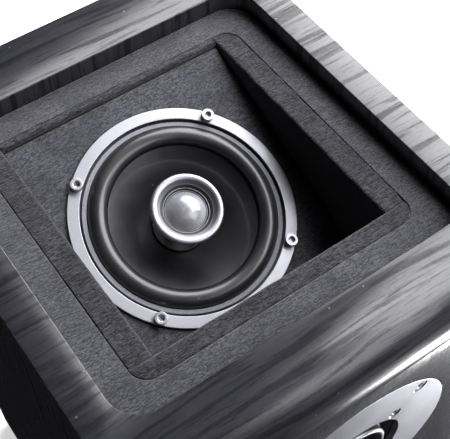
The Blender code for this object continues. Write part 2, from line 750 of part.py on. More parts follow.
def build_front_unit():
    """Metal plate, the dome unit screwed behind it, and the bright ring round its horn."""
    face = turned("front_plate", [
        (PLATE_HOLE, 0), (PLATE_RADIUS, 0), (PLATE_RADIUS, -PLATE_THICKNESS), (PLATE_HOLE, -PLATE_THICKNESS),
    ], "silver_metal", FRONT_AXIS)
    sink = 0.0023
    for i, spot in enumerate(screw_circle(FRONT_SCREW_CIRCLE)):
        cut(
            face,
            rod(f"front_sink_{i}", 0.0037, -sink, sink, None, FRONT_AXIS, spot, steps=SMALL_STEPS),
            rod(f"front_hole_{i}", 0.0020, -0.006, sink, None, FRONT_AXIS, spot, steps=SMALL_STEPS // 2),
        )
    flange_face = -PLATE_THICKNESS - GAP
    turned("front_unit_body", [
        (0, -0.0125), (0.0135, -0.0125), (0.0135, -0.0085), (0.0197, -0.0041), (0.0228, -0.0041),
        (0.0245, -0.0085), (0.0285, -0.0085), (0.0298, flange_face), (UNIT_FLANGE_RADIUS, flange_face),
        (UNIT_FLANGE_RADIUS, -0.0065), (0.0335, -0.0065), (0.0335, -0.0150), (0, -0.0150),
    ], "black_plastic", FRONT_AXIS, hollow=False)
    turned("front_horn_ring", [
        (0.0200, -0.0014), (0.0206, -0.0005), (0.0219, -0.0005), (0.0225, -0.0014), (0.0225, -0.0038),
        (0.0200, -0.0038),
    ], "silver_metal", FRONT_AXIS)
    turned("front_dome", dome_outline(0.0128, -0.0110, 0.0048, 0.0006), "dome_grey", FRONT_AXIS,
           steps=MEDIUM_STEPS, hollow=False)
    rod("front_motor", 0.0330, -0.0333, -0.0153, "ferrite", FRONT_AXIS, steps=MEDIUM_STEPS)
    mesh = screw_mesh("front_screw", 0.0034, -0.0020, -GAP, 0.0016, -0.0150, countersunk=True)
    place_screws("front", mesh, FRONT_AXIS, FRONT_SCREW_CIRCLE)


def build_woofer():
    _, edge_height = build_driver(WOOFER, WOOFER_AXIS)
    cap = dome_outline(0.0215, edge_height - 0.0125, 0.0060, 0.0008)
    turned("woofer_dust_cap", cap, "cone_black", WOOFER_AXIS, steps=MEDIUM_STEPS, hollow=False)


# Back panel fittings

def build_port():
    """Tube with a flared mouth let into the back panel."""
    throat = 0.0240
    flare = 0.0120
    wall = 0.0022
    length = 0.110
    outline = arc((throat + flare, -flare), flare, 180, 90, 6)
    outline += [
        (PORT_FLANGE_RADIUS, 0), (PORT_FLANGE_RADIUS, -PORT_FLANGE), (PORT_THROAT_RADIUS, -PORT_FLANGE),
        (throat + wall, -0.0110), (throat + wall, -length), (throat, -length),
    ]
    turned("port_tube", outline, "black_plastic", PORT_AXIS, steps=MEDIUM_STEPS)


def build_terminals():
    """Recessed cup with two pairs of binding posts, each a threaded post and the knob on it."""
    cup = box(
        "terminal_cup", (-CUP_FLANGE_HALF_WIDTH, -CUP_FLANGE_HALF_HEIGHT, -CUP_FLANGE),
        (CUP_FLANGE_HALF_WIDTH, CUP_FLANGE_HALF_HEIGHT, 0), "black_plastic", CUP_AXIS,
    )
    skin = 0.0025
    wide = CUP_HALF_WIDTH
    tall = CUP_HALF_HEIGHT
    floor = -CUP_DEPTH + skin
    join(cup, box("cup_outside", (-wide, -tall, -CUP_DEPTH), (wide, tall, -CUP_FLANGE / 2), None, CUP_AXIS))
    inside_low = (-wide + skin, -tall + skin, floor)
    cut(cup, box("cup_inside", inside_low, (wide - skin, tall - skin, skin), None, CUP_AXIS))
    post_radius = 0.0026
    collar = floor + GAP + 0.0034
    post = [
        (0, -0.0085), (post_radius, -0.0085), (post_radius, collar), (0.0052, collar), (0.0052, floor + GAP),
        (post_radius, floor + GAP), (post_radius, -0.0390), (0, -0.0390),
    ]
    knob = knob_mesh(collar + GAP, -0.0062)
    for i, x in enumerate(POST_PLACES):
        cut(cup, rod(f"post_hole_{i}", post_radius + 0.0004, -CUP_DEPTH - skin, 0, None, CUP_AXIS, (x, 0)))
        turned(f"post_{i + 1}", post, "gold_plate", CUP_AXIS, steps=SMALL_STEPS, hollow=False,
               location=(x, 0, 0))
        colour = "red" if i % 2 else "black"
        shape = knob if colour == "black" else knob.copy()
        place(f"knob_{i + 1}", shape, f"{colour}_plastic", CUP_AXIS, (x, 0, 0))


def knob_mesh(low, high):
    """Ribbed sleeve with a bore for the post, between two heights on its own axis."""
    ribs = 12
    count = ribs * 2
    rib_radius = 0.0066
    groove_radius = 0.0060
    bore_radius = 0.0030
    rim = []
    for i in range(count):
        radius = groove_radius if i % 2 else rib_radius
        angle = 2 * math.pi * i / count
        rim.append((radius * math.cos(angle), radius * math.sin(angle)))
    bore = arc((0, 0), bore_radius, 0, 360 - 360 / SMALL_STEPS, SMALL_STEPS - 1)
    sleeve = plate("knob_shape", [rim, bore], high - low, "black_plastic", location=(0, 0, (low + high) / 2))
    mesh = sleeve.data
    mesh.transform(sleeve.matrix_basis)
    bpy.data.objects.remove(sleeve)
    return mesh


clear_scene()
PARTS = collection("bookshelf_speaker")
CUTTERS = collection("cutters")
TILTED_AXIS = frame_empty("tilted_baffle_axis", (0, RING_Y, TOP - RING_DROP), TILT)
HEIGHT_AXIS = frame_empty("height_driver_axis", (RING_X, RING_Y, TOP - RING_DROP), TILT)
FRONT_AXIS = frame_empty("front_unit_axis", (0, FRONT, TOP - FRONT_UNIT_DROP), math.pi / 2)
WOOFER_AXIS = frame_empty("woofer_axis", (0, FRONT, TOP - WOOFER_DROP), math.pi / 2)
PORT_AXIS = frame_empty("port_axis", (0, BACK, PORT_HEIGHT), -math.pi / 2)
CUP_AXIS = frame_empty("terminal_axis", (0, BACK, TERMINAL_HEIGHT), -math.pi / 2)

build_cabinet_shell()
build_front_baffle()
build_back_panel()
build_feet()
build_crossover()
build_well_boards()
build_deck_felt()
build_baffle_felt()
build_lip_strips()
build_height_driver()
build_front_unit()
build_woofer()
build_port()
build_terminals()
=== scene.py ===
# %% [markdown]
# # A bookshelf speaker with an upward-firing driver
#
# The cabinet is a box in black ash wrap. Its top is pocketed and lined with felt, and a small
# loudspeaker sits in the pocket, tilted forward, so that its sound reaches the listener by way of
# the ceiling. The boards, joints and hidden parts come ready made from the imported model, and this
# lesson gives every visible surface its real shape and finish.

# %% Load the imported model
import json
import math

import bmesh
import bpy
import numpy as np
from mathutils import Matrix, Quaternion, Vector


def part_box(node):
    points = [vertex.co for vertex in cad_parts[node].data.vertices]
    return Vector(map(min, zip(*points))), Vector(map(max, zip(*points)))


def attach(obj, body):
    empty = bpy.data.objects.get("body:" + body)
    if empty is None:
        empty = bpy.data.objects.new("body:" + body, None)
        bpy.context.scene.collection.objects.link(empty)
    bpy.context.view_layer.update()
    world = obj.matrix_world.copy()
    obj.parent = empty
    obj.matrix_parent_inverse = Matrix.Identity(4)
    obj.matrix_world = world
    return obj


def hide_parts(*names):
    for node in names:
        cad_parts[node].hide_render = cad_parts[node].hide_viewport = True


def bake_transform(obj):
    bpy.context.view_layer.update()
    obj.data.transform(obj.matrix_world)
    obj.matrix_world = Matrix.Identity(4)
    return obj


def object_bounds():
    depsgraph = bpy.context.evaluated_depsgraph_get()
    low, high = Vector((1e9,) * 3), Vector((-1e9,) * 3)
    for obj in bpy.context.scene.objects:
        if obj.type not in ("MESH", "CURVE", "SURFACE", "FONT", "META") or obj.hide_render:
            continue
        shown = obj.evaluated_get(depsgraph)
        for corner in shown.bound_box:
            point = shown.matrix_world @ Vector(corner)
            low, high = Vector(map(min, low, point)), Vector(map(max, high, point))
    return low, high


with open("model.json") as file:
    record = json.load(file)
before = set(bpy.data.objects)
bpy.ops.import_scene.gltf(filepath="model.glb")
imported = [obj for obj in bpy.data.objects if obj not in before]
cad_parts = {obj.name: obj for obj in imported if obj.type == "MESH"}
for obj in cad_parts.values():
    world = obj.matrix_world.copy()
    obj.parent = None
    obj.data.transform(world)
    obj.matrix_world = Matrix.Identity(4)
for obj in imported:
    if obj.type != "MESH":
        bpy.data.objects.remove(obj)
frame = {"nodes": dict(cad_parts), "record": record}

CAD_BOX = [list(corner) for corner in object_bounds()]
print("box of the packed model:", CAD_BOX)

# %% [markdown]
# ## Camera, floor and light
#
# The camera looks down on the top from the front left, close enough that the far corners leave the
# view. It could be aimed with a constraint, but a location, a direction and a small roll are easier
# to read and give the same picture every time.

# %% Camera
WIDTH = CAD_BOX[1][0] - CAD_BOX[0][0]
TOP = CAD_BOX[1][2]
FRONT = CAD_BOX[0][1]
CAMERA_PLACE = Vector((-0.14335, -0.23386, TOP + 0.34879))
CAMERA_LOOK = Vector((0.32839, 0.47811, -0.81460))
CAMERA_ROLL = math.radians(-0.76)
CAMERA_LENS = 79.03


def add_object(name, data):
    """A new object of that name in the scene, holding a mesh, a light or a camera."""
    obj = bpy.data.objects.new(name, data)
    bpy.context.scene.collection.objects.link(obj)
    return obj


def add_camera():
    """A camera whose view runs along CAMERA_LOOK, turned by CAMERA_ROLL about that line."""
    camera = add_object("camera", bpy.data.cameras.new("camera"))
    camera.data.sensor_width = 36.0
    camera.data.lens = CAMERA_LENS
    camera.location = CAMERA_PLACE
    camera.rotation_mode = "QUATERNION"
    side = CAMERA_LOOK.cross(Vector((0, 0, 1))).normalized()
    rise = side.cross(CAMERA_LOOK).normalized()
    level = Matrix((side, rise, -CAMERA_LOOK.normalized())).transposed().to_quaternion()
    camera.rotation_quaternion = level @ Quaternion((0, 0, 1), CAMERA_ROLL)
    bpy.context.scene.camera = camera
    return camera


add_camera()
print("camera", [round(x, 3) for x in CAMERA_PLACE], "lens", CAMERA_LENS, "mm")

# %% [markdown]
# A large soft box stands on the right of the speaker and reaches behind it. Black satin surfaces
# show a light mostly by reflecting it, so its place decides which of the four rims is bright. The
# floor is pale and glows a little, as a lit acrylic table does, which keeps the ground white round
# the object, but it is left out of reflections, where the dark room behind a small front glow
# shows the rounding.

# %% Floor and lights
def add_plane(name, half):
    """A square in the XY plane, from -half to +half."""
    mesh = bpy.data.meshes.new(name)
    corners = [(-half, -half, 0), (half, -half, 0), (half, half, 0), (-half, half, 0)]
    mesh.from_pydata(corners, [], [(0, 1, 2, 3)])
    return add_object(name, mesh)


def add_soft_box(name, place, aim, width, height, watts):
    """A rectangular area light at a place, facing a point."""
    light = bpy.data.lights.new(name, "AREA")
    light.shape = "RECTANGLE"
    light.size = width
    light.size_y = height
    light.energy = watts
    obj = add_object(name, light)
    obj.location = place
    obj.rotation_mode = "QUATERNION"
    obj.rotation_quaternion = (Vector(aim) - Vector(place)).to_track_quat("-Z", "Y")
    return obj


def light_room():
    """A long key box from behind right to the right front, a weaker box in front, a small glow low
    before the front, which is all that the rounded edge and the plate reflect, and a dim room."""
    world = bpy.data.worlds.new("dim room")
    world.use_nodes = True
    world.node_tree.nodes["Background"].inputs["Color"].default_value = (0.80, 0.84, 1.0, 1.0)
    world.node_tree.nodes["Background"].inputs["Strength"].default_value = 0.006
    bpy.context.scene.world = world
    bpy.context.scene.view_settings.view_transform = "Standard"
    aim = (0.0, 0.0, TOP)
    add_soft_box("key soft box", (0.84, 0.20, 1.10), aim, 1.60, 1.04, 46.0)
    add_soft_box("front top box", (0.66, -1.00, 1.35), aim, 0.80, 0.90, 10.0)
    glow = add_soft_box("front glow", (0.36, -0.29, 0.02), (0.34, -0.28, TOP), 0.46, 0.20, 7.5)
    glow.visible_camera = False


light_room()
floor = add_plane("floor", 4.0)
floor.visible_glossy = False

# %% [markdown]
# ## Effects that several finishes share
#
# Wood grain, felt nap, dust, moulded texture, brushed metal and rubbed edges each belong to more
# than one finish. They could be copied into each material, but a node group with named sockets is
# built once and given its own values wherever it is used.

# %% Helpers for shader nodes
def add(tree, kind, values=None, **settings):
    """A shader node. Settings are its own properties; values fill its inputs, by name or number,
    with a constant or with another node's output."""
    node = tree.nodes.new("ShaderNode" + kind)
    for name, value in settings.items():
        setattr(node, name, value)
    for key, value in (values or {}).items():
        if isinstance(value, bpy.types.NodeSocket):
            tree.links.new(value, node.inputs[key])
        else:
            node.inputs[key].default_value = value
    return node


def remap(tree, value, low, high, to_low=0.0, to_high=1.0):
    """Takes low..high smoothly to to_low..to_high."""
    node = add(tree, "MapRange", {0: value, 1: low, 2: high, 3: to_low, 4: to_high},
               interpolation_type="SMOOTHSTEP")
    return node.outputs[0]


def sum_of(tree, a, b, share=1.0):
    """a + share * b."""
    return add(tree, "Math", {0: b, 1: share, 2: a}, operation="MULTIPLY_ADD").outputs[0]


def product(tree, a, b):
    return add(tree, "Math", {0: a, 1: b}, operation="MULTIPLY").outputs[0]


def inverse(tree, size):
    """1 / size: the scale that gives a texture features of that size."""
    return add(tree, "Math", {0: 1.0, 1: size}, operation="DIVIDE").outputs[0]


def noise(tree, vector, scale, detail=2.0, roughness=0.5, distortion=0.0):
    return add(tree, "TexNoise", {
        "Vector": vector, "Scale": scale, "Detail": detail, "Roughness": roughness,
        "Distortion": distortion,
    }).outputs[0]


def stretched(tree, vector, along, across, turn=0.0):
    """The same place measured with different yardsticks along X and across it."""
    return add(tree, "Mapping", {
        "Vector": vector, "Scale": (along, across, across), "Rotation": (0.0, 0.0, turn),
    }).outputs[0]


def group_of(name, inputs, outputs):
    """An empty node group with those sockets; inputs gives each one's usual value."""
    group = bpy.data.node_groups.new(name, "ShaderNodeTree")
    for label, value in inputs.items():
        kind = "NodeSocketVector" if value is None else "NodeSocketFloat"
        socket = group.interface.new_socket(label, in_out="INPUT", socket_type=kind)
        if value is not None:
            socket.default_value = value
    for label in outputs:
        group.interface.new_socket(label, in_out="OUTPUT", socket_type="NodeSocketFloat")
    return group, group.nodes.new("NodeGroupInput").outputs, group.nodes.new("NodeGroupOutput").inputs

# %% [markdown]
# Ash has broad wavy figure, thin streaks inside it, and open pores that stay as short dark lines.
# The wrap prints the figure and presses the pores in. The pattern's own X runs along the grain.

# %% Wood grain group
def make_grain():
    """Figure = 0.55 * thin dark lines + 0.25 * broad bands + 0.20 * speckle, all of them noises
    stretched along the grain and pushed sideways by a slower one. Pores = the peaks of a finer one."""
    group, given, out = group_of(
        "ash grain", {"Vector": None, "Figure Width": 0.004, "Wander": 0.010},
        ("Figure", "Pores", "Relief"))
    wander = noise(group, stretched(group, given["Vector"], 9.0, 26.0), 1.0, 2.0)
    push = product(group, sum_of(group, -0.5, wander), given["Wander"])
    shift = add(group, "CombineXYZ", {"Y": push}).outputs[0]
    place = add(group, "VectorMath", {0: given["Vector"], 1: shift}, operation="ADD").outputs[0]
    fineness = inverse(group, given["Figure Width"])
    broad = noise(group, stretched(group, place, 0.08, 1.0), product(group, fineness, 0.6), 2.0, 0.55)
    lines = noise(group, stretched(group, place, 0.06, 1.0), fineness, 1.0, 0.5, 0.4)
    speckle = noise(group, stretched(group, place, 0.30, 1.0), product(group, fineness, 5.0), 2.0, 0.6)
    figure = sum_of(group, product(group, remap(group, lines, 0.38, 0.50), 0.55),
                    remap(group, broad, 0.35, 0.65), 0.25)
    figure = sum_of(group, figure, remap(group, speckle, 0.35, 0.65), 0.20)
    pores = noise(group, stretched(group, place, 0.06, 1.0), product(group, fineness, 4.0), 1.0, 0.5)
    pore_mask = remap(group, pores, 0.58, 0.70)
    group.links.new(figure, out["Figure"])
    group.links.new(pore_mask, out["Pores"])
    group.links.new(sum_of(group, product(group, speckle, 0.8), pore_mask, -0.6), out["Relief"])
    return group


GRAIN = make_grain()
print("group:", GRAIN.name)

# %% [markdown]
# Needled felt is a mat of fibres that lie every way. Two stretched noises at different angles make
# short strands, and a slow noise gives the cloudy patches that handling leaves.

# %% Felt nap group
def make_nap():
    """Fibre = the larger of two noises stretched along different directions, plus fine fuzz."""
    group, given, out = group_of(
        "felt nap", {"Vector": None, "Fibre Width": 0.0004, "Patch": 0.018},
        ("Fibre", "Mottle", "Relief"))
    fineness = inverse(group, given["Fibre Width"])
    coarseness = inverse(group, given["Patch"])
    strands = [
        noise(group, stretched(group, given["Vector"], 0.22, 1.0, turn), fineness, 2.0, 0.6, 0.6)
        for turn in (0.5, -0.9)
    ]
    mat = add(group, "Math", {0: strands[0], 1: strands[1]}, operation="MAXIMUM").outputs[0]
    fuzz = noise(group, given["Vector"], product(group, fineness, 0.6), 3.0, 0.7)
    fibre = remap(group, sum_of(group, mat, fuzz, 0.6), 0.70, 1.02)
    group.links.new(fibre, out["Fibre"])
    cloud = noise(group, given["Vector"], coarseness, 3.0, 0.6)
    group.links.new(remap(group, cloud, 0.3, 0.7), out["Mottle"])
    group.links.new(sum_of(group, mat, fuzz, 0.8), out["Relief"])
    return group


NAP = make_nap()
print("group:", NAP.name)

# %% [markdown]
# Dust settles on whatever faces up. A few specks can be seen one by one, and the rest is a film.

# %% Dust group
def make_dust():
    """Dust = (a spot in some of the cells of a cell pattern + a film) * how far the surface faces up."""
    group, given, out = group_of(
        "dust", {"Vector": None, "Speck Spacing": 0.004, "Specks": 0.3, "Film": 0.1}, ("Dust",))
    fineness = inverse(group, given["Speck Spacing"])
    cells = add(group, "TexVoronoi", {"Vector": given["Vector"], "Scale": fineness})
    spots = remap(group, cells.outputs["Distance"], 0.10, 0.04)
    shade = add(group, "SeparateColor", {0: cells.outputs["Color"]}).outputs[0]
    chosen = add(group, "Math", {0: shade, 1: given["Specks"]}, operation="LESS_THAN").outputs[0]
    film = product(group, remap(group, noise(group, given["Vector"], 55.0, 4.0, 0.65), 0.35, 0.8),
                   given["Film"])
    normal = add(group, "NewGeometry").outputs["Normal"]
    upward = remap(group, add(group, "SeparateXYZ", {0: normal}).outputs["Z"], 0.2, 0.9)
    total = sum_of(group, film, product(group, spots, chosen))
    group.links.new(product(group, total, upward), out["Dust"])
    return group


DUST = make_dust()
print("group:", DUST.name)

# %% [markdown]
# Moulded plastic, rubber and cast frames share a fine pebbled skin. Turned and blasted metal has
# an even finer one, with smudges that only change how sharply it reflects. Corners rub bright:
# each new piece carries an "edge" attribute that is 1 on its narrow corner faces.

# %% Pebble, polish and rubbed edge groups
def make_pebble():
    """Relief = rounded cells of one size, softened by a noise of the same size."""
    group, given, out = group_of("moulded skin", {"Vector": None, "Pebble": 0.0006}, ("Relief", "Shade"))
    fineness = inverse(group, given["Pebble"])
    cells = add(group, "TexVoronoi", {"Vector": given["Vector"], "Scale": fineness}, feature="SMOOTH_F1")
    grit = noise(group, given["Vector"], fineness, 3.0, 0.6)
    group.links.new(sum_of(group, grit, cells.outputs["Distance"], 0.8), out["Relief"])
    group.links.new(remap(group, noise(group, given["Vector"], 60.0, 4.0, 0.6), 0.3, 0.7), out["Shade"])
    return group


def make_polish():
    """Relief = very fine noise; Smudge = a slow noise, as fingers leave it."""
    group, given, out = group_of("metal skin", {"Vector": None, "Grit": 0.0003}, ("Relief", "Smudge"))
    fineness = inverse(group, given["Grit"])
    group.links.new(noise(group, given["Vector"], fineness, 2.0, 0.6), out["Relief"])
    smears = noise(group, given["Vector"], 45.0, 4.0, 0.7)
    group.links.new(remap(group, smears, 0.35, 0.75), out["Smudge"])
    return group


def make_rub():
    """Wear = the edge attribute, broken up by a noise; a higher Amount leaves fewer breaks."""
    group, given, out = group_of("rubbed edge", {"Vector": None, "Amount": 0.5}, ("Wear",))
    edge = add(group, "Attribute", attribute_name="edge").outputs["Fac"]
    patchy = sum_of(group, given["Amount"], noise(group, given["Vector"], 160.0, 4.0, 0.7), 1.0)
    group.links.new(product(group, edge, remap(group, patchy, 0.75, 1.15)), out["Wear"])
    return group


PEBBLE = make_pebble()
POLISH = make_polish()
RUB = make_rub()
print("groups:", PEBBLE.name, POLISH.name, RUB.name)

# %% [markdown]
# ## Finishes
#
# Each finish is one material with its own shader. Numbers that are the same all over are set on
# the shader itself, and the groups only supply what changes from place to place.

# %% Helpers for finishes
FINISHES = {}


def finish(name, **constants):
    """A new material of that name with its constants on the shader; returns its tree and shader."""
    made = bpy.data.materials.new(name)
    made.use_nodes = True
    tree = made.node_tree
    shader = tree.nodes["Principled BSDF"]
    for label, value in constants.items():
        socket = shader.inputs[label.replace("_", " ")]
        socket.default_value = (*value, 1.0) if isinstance(value, tuple) else value
    FINISHES[name] = made
    return tree, shader


def use_group(tree, group, vector, **values):
    """The group placed in a material with its own values."""
    node = tree.nodes.new("ShaderNodeGroup")
    node.node_tree = group
    tree.links.new(vector, node.inputs["Vector"])
    for label, value in values.items():
        node.inputs[label.replace("_", " ")].default_value = value
    return node.outputs


def own_place(tree):
    return add(tree, "TexCoord").outputs["Object"]


def blend_colour(tree, mask, a, b):
    """Colour a where the mask is 0, b where it is 1."""
    node = add(tree, "Mix", data_type="RGBA")
    tree.links.new(mask, node.inputs[0])
    for index, value in ((6, a), (7, b)):
        if isinstance(value, bpy.types.NodeSocket):
            tree.links.new(value, node.inputs[index])
        else:
            node.inputs[index].default_value = (*value, 1.0)
    return node.outputs[2]


def add_relief(tree, shader, height, depth, strength=1.0):
    """Bump of that depth in metres where the height goes from 0 to 1."""
    bump = add(tree, "Bump", {"Height": height, "Distance": depth, "Strength": strength})
    tree.links.new(bump.outputs[0], shader.inputs["Normal"])

# %% [markdown]
# The wrap is a satin vinyl under a thin clear coat. The coat is weaker over the dark streaks, so
# the figure shows in the reflection of the lamp as much as in the colour.

# %% Wood wrap
def make_wrap(name, figure_width, wander, dark, light):
    tree, shader = finish(name, Specular_IOR_Level=0.08, Coat_Roughness=0.24)
    layout = add(tree, "UVMap", uv_map="wrap").outputs[0]
    place = own_place(tree)
    grain = use_group(tree, GRAIN, layout, Figure_Width=figure_width, Wander=wander)
    dust = use_group(tree, DUST, place, Speck_Spacing=0.006, Specks=0.10, Film=0.05)
    wear = use_group(tree, RUB, place, Amount=0.30)
    colour = blend_colour(tree, grain["Figure"], dark, light)
    colour = blend_colour(tree, product(tree, grain["Pores"], 0.75), colour, (0.008, 0.008, 0.009))
    colour = blend_colour(tree, product(tree, wear["Wear"], 0.35), colour, (0.16, 0.16, 0.17))
    colour = blend_colour(tree, product(tree, dust["Dust"], 0.30), colour, (0.45, 0.45, 0.44))
    tree.links.new(colour, shader.inputs["Base Color"])
    rough = remap(tree, grain["Figure"], 0.0, 1.0, 0.60, 0.45)
    tree.links.new(rough, shader.inputs["Roughness"])
    gloss = remap(tree, grain["Figure"], 0.0, 0.8, 0.42, 1.0)
    tree.links.new(sum_of(tree, gloss, grain["Pores"], -0.25), shader.inputs["Coat Weight"])
    add_relief(tree, shader, grain["Relief"], 0.00003, 0.6)


make_wrap("wide ash wrap", 0.0036, 0.012, (0.007, 0.007, 0.010), (0.030, 0.030, 0.039))
make_wrap("fine ash wrap", 0.0013, 0.004, (0.016, 0.016, 0.021), (0.046, 0.046, 0.056))
print("finishes so far:", len(FINISHES))

# %% [markdown]
# Felt is rough, and its stray fibres catch light at a glance, which the shader's sheen gives. The
# strips round the well are furrier than the flat felt, because they were cut from another roll, and
# their felt is darker, partly its own colour and partly painted shade.

# %% Felts and foam
def make_felt(name, fibre_width, dark, light, patch=0.018, depth=0.0004, sheen=0.5):
    tree, shader = finish(name, Roughness=0.95, Sheen_Weight=sheen, Sheen_Roughness=0.45,
                          Specular_IOR_Level=0.25)
    place = own_place(tree)
    nap = use_group(tree, NAP, place, Fibre_Width=fibre_width, Patch=patch)
    dust = use_group(tree, DUST, place, Speck_Spacing=0.003, Specks=0.22, Film=0.04)
    colour = blend_colour(tree, nap["Fibre"], dark, light)
    cloudy = remap(tree, nap["Mottle"], 0.0, 1.0, 0.35, 0.0)
    colour = blend_colour(tree, cloudy, colour, dark)
    colour = blend_colour(tree, product(tree, dust["Dust"], 0.45), colour, (0.40, 0.40, 0.40))
    tree.links.new(colour, shader.inputs["Base Color"])
    add_relief(tree, shader, nap["Relief"], depth, 0.9)


make_felt("deck felt", 0.00060, (0.020, 0.020, 0.027), (0.100, 0.100, 0.118))
# The strip felt's darker colours are partly its own colour and partly painted shade of the strips.
make_felt("strip felt", 0.00080, (0.006, 0.006, 0.009), (0.054, 0.054, 0.066), depth=0.0008, sheen=0.30)
make_felt("gasket foam", 0.00030, (0.20, 0.20, 0.23), (0.30, 0.30, 0.34), depth=0.00008, sheen=0.1)

# %% [markdown]
# The trim ring, front plate and screws are bead-blasted and clear-anodised, so they reflect the
# lamp as a soft glow. Plated brass and copper share that skin in other colours.

# %% Metals
def make_metal(name, colour, roughness, grit=0.0003, smudge=0.10, depth=0.00001, dulled=0.7, wear=0.4):
    tree, shader = finish(name, Metallic=1.0)
    place = own_place(tree)
    skin = use_group(tree, POLISH, place, Grit=grit)
    rub = use_group(tree, RUB, place, Amount=wear)
    dust = use_group(tree, DUST, place, Speck_Spacing=0.005, Specks=0.10, Film=0.04)
    bright = tuple(min(1.0, c * 1.15) for c in colour)
    dull = tuple(c * dulled for c in colour)
    shade = blend_colour(tree, product(tree, skin["Smudge"], 0.25), colour, dull)
    shade = blend_colour(tree, rub["Wear"], shade, bright)
    shade = blend_colour(tree, product(tree, dust["Dust"], 0.4), shade, (0.35, 0.35, 0.35))
    tree.links.new(shade, shader.inputs["Base Color"])
    rough = sum_of(tree, roughness, skin["Smudge"], smudge)
    tree.links.new(rough, shader.inputs["Roughness"])
    add_relief(tree, shader, skin["Relief"], depth, 0.6)


make_metal("satin silver", (0.37, 0.37, 0.41), 0.42)
make_metal("screw metal", (0.40, 0.40, 0.44), 0.30, smudge=0.14)
make_metal("plain steel", (0.42, 0.42, 0.42), 0.38, grit=0.0006, smudge=0.2)
make_metal("gold plate", (0.85, 0.62, 0.25), 0.20)
make_metal("coil copper", (0.66, 0.30, 0.14), 0.35, grit=0.0005)

# %% [markdown]
# Plastics, rubber, ferrite and painted frames differ in colour, gloss and the size of their
# pebbles, so one function makes them all.

# %% Moulded and painted finishes
def make_moulded(name, colour, roughness, pebble=0.0006, depth=0.00002, coat=0.0, specks=0.10, film=0.05,
                 variation=0.3, wear=0.2):
    tree, shader = finish(name, Coat_Weight=coat, Coat_Roughness=0.12)
    place = own_place(tree)
    skin = use_group(tree, PEBBLE, place, Pebble=pebble)
    dust = use_group(tree, DUST, place, Speck_Spacing=0.005, Specks=specks, Film=film)
    rub = use_group(tree, RUB, place, Amount=wear)
    lighter = tuple(c * (1 + variation) + 0.002 for c in colour)
    shade = blend_colour(tree, skin["Shade"], colour, lighter)
    shade = blend_colour(tree, product(tree, rub["Wear"], 0.3), shade, tuple(c + 0.08 for c in lighter))
    shade = blend_colour(tree, product(tree, dust["Dust"], 0.35), shade, (0.42, 0.42, 0.41))
    tree.links.new(shade, shader.inputs["Base Color"])
    rough = sum_of(tree, roughness, skin["Shade"], 0.08)
    tree.links.new(sum_of(tree, rough, dust["Dust"], 0.4), shader.inputs["Roughness"])
    add_relief(tree, shader, skin["Relief"], depth, 0.7)


make_moulded("surround rubber", (0.011, 0.011, 0.014), 0.32, pebble=0.0004, depth=0.000008, coat=0.35)
make_moulded("cone skin", (0.008, 0.008, 0.010), 0.34, pebble=0.0012, depth=0.00002, coat=0.25)
make_moulded("smoky dome", (0.17, 0.17, 0.19), 0.22, pebble=0.0009, depth=0.000015, coat=0.8,
             variation=0.9)
make_moulded("black plastic", (0.016, 0.016, 0.018), 0.36)
make_moulded("red plastic", (0.42, 0.018, 0.016), 0.32)
make_moulded("frame paint", (0.020, 0.020, 0.021), 0.45, pebble=0.0009, depth=0.00004)
make_moulded("foot rubber", (0.022, 0.022, 0.022), 0.75, pebble=0.0008, depth=0.00005)
make_moulded("socket black", (0.004, 0.004, 0.004), 0.60)
make_moulded("ferrite", (0.050, 0.050, 0.052), 0.65, pebble=0.0007, depth=0.00006)
make_moulded("fibreboard", (0.27, 0.19, 0.115), 0.85, pebble=0.0010, depth=0.00010)
make_moulded("spider cloth", (0.50, 0.38, 0.17), 0.85, pebble=0.0007, depth=0.00010)
make_moulded("circuit board", (0.035, 0.16, 0.06), 0.50, pebble=0.0020, depth=0.00005)
make_moulded("pale floor", (0.80, 0.80, 0.80), 0.60, pebble=0.0040, depth=0.00003, specks=0.0, film=0.0,
             variation=0.02)
print("finishes:", ", ".join(FINISHES))

# %% [markdown]
# The floor is a stage piece in its own finish, with a weak glow on the shader itself.

# %% Floor finish
floor_finish = FINISHES["pale floor"]
floor_shader = floor_finish.node_tree.nodes["Principled BSDF"]
floor_shader.inputs["Emission Color"].default_value = (1.0, 1.0, 1.0, 1.0)
floor_shader.inputs["Emission Strength"].default_value = 0.60
floor.data.materials.append(floor_finish)

# %% [markdown]
# ## Tools for shapes
#
# A piece is a grid of points worked out at once with numpy. The mesh takes the points and the
# squares between them, doubles at seams and poles are merged, and the faces are turned outwards.

# %% Pieces from grids
EDGE_WIDTH = 0.00025


def grid_squares(rows, columns, close_rows, close_columns):
    """Corner numbers of the squares of a grid whose point (i, j) has number i * columns + j."""
    number = np.arange(rows * columns).reshape(rows, columns)
    if close_rows:
        number = np.vstack([number, number[:1]])
    if close_columns:
        number = np.hstack([number, number[:, :1]])
    squares = np.stack([number[:-1, :-1], number[:-1, 1:], number[1:, 1:], number[1:, :-1]], -1)
    return squares.reshape(-1, 4)


def mark_edges(mesh, edge_width=EDGE_WIDTH):
    """Corner attribute "edge": 1 on faces narrower than edge_width, where width = 4 * area / rim."""
    count = len(mesh.polygons)
    area = np.empty(count)
    mesh.polygons.foreach_get("area", area)
    corners = np.empty(count, dtype=np.int32)
    mesh.polygons.foreach_get("loop_total", corners)
    face = np.repeat(np.arange(count), corners)
    edge_of = np.empty(len(mesh.loops), dtype=np.int32)
    mesh.loops.foreach_get("edge_index", edge_of)
    ends = np.empty(len(mesh.edges) * 2, dtype=np.int32)
    mesh.edges.foreach_get("vertices", ends)
    points = points_of(mesh)
    length = np.linalg.norm(points[ends[0::2]] - points[ends[1::2]], axis=1)
    rim = np.bincount(face, weights=length[edge_of], minlength=count)
    narrow = (4 * area / np.maximum(rim, 1e-9) < edge_width).astype(np.float32)
    attribute = mesh.attributes.new("edge", "FLOAT", "CORNER")
    attribute.data.foreach_set("value", narrow[face])


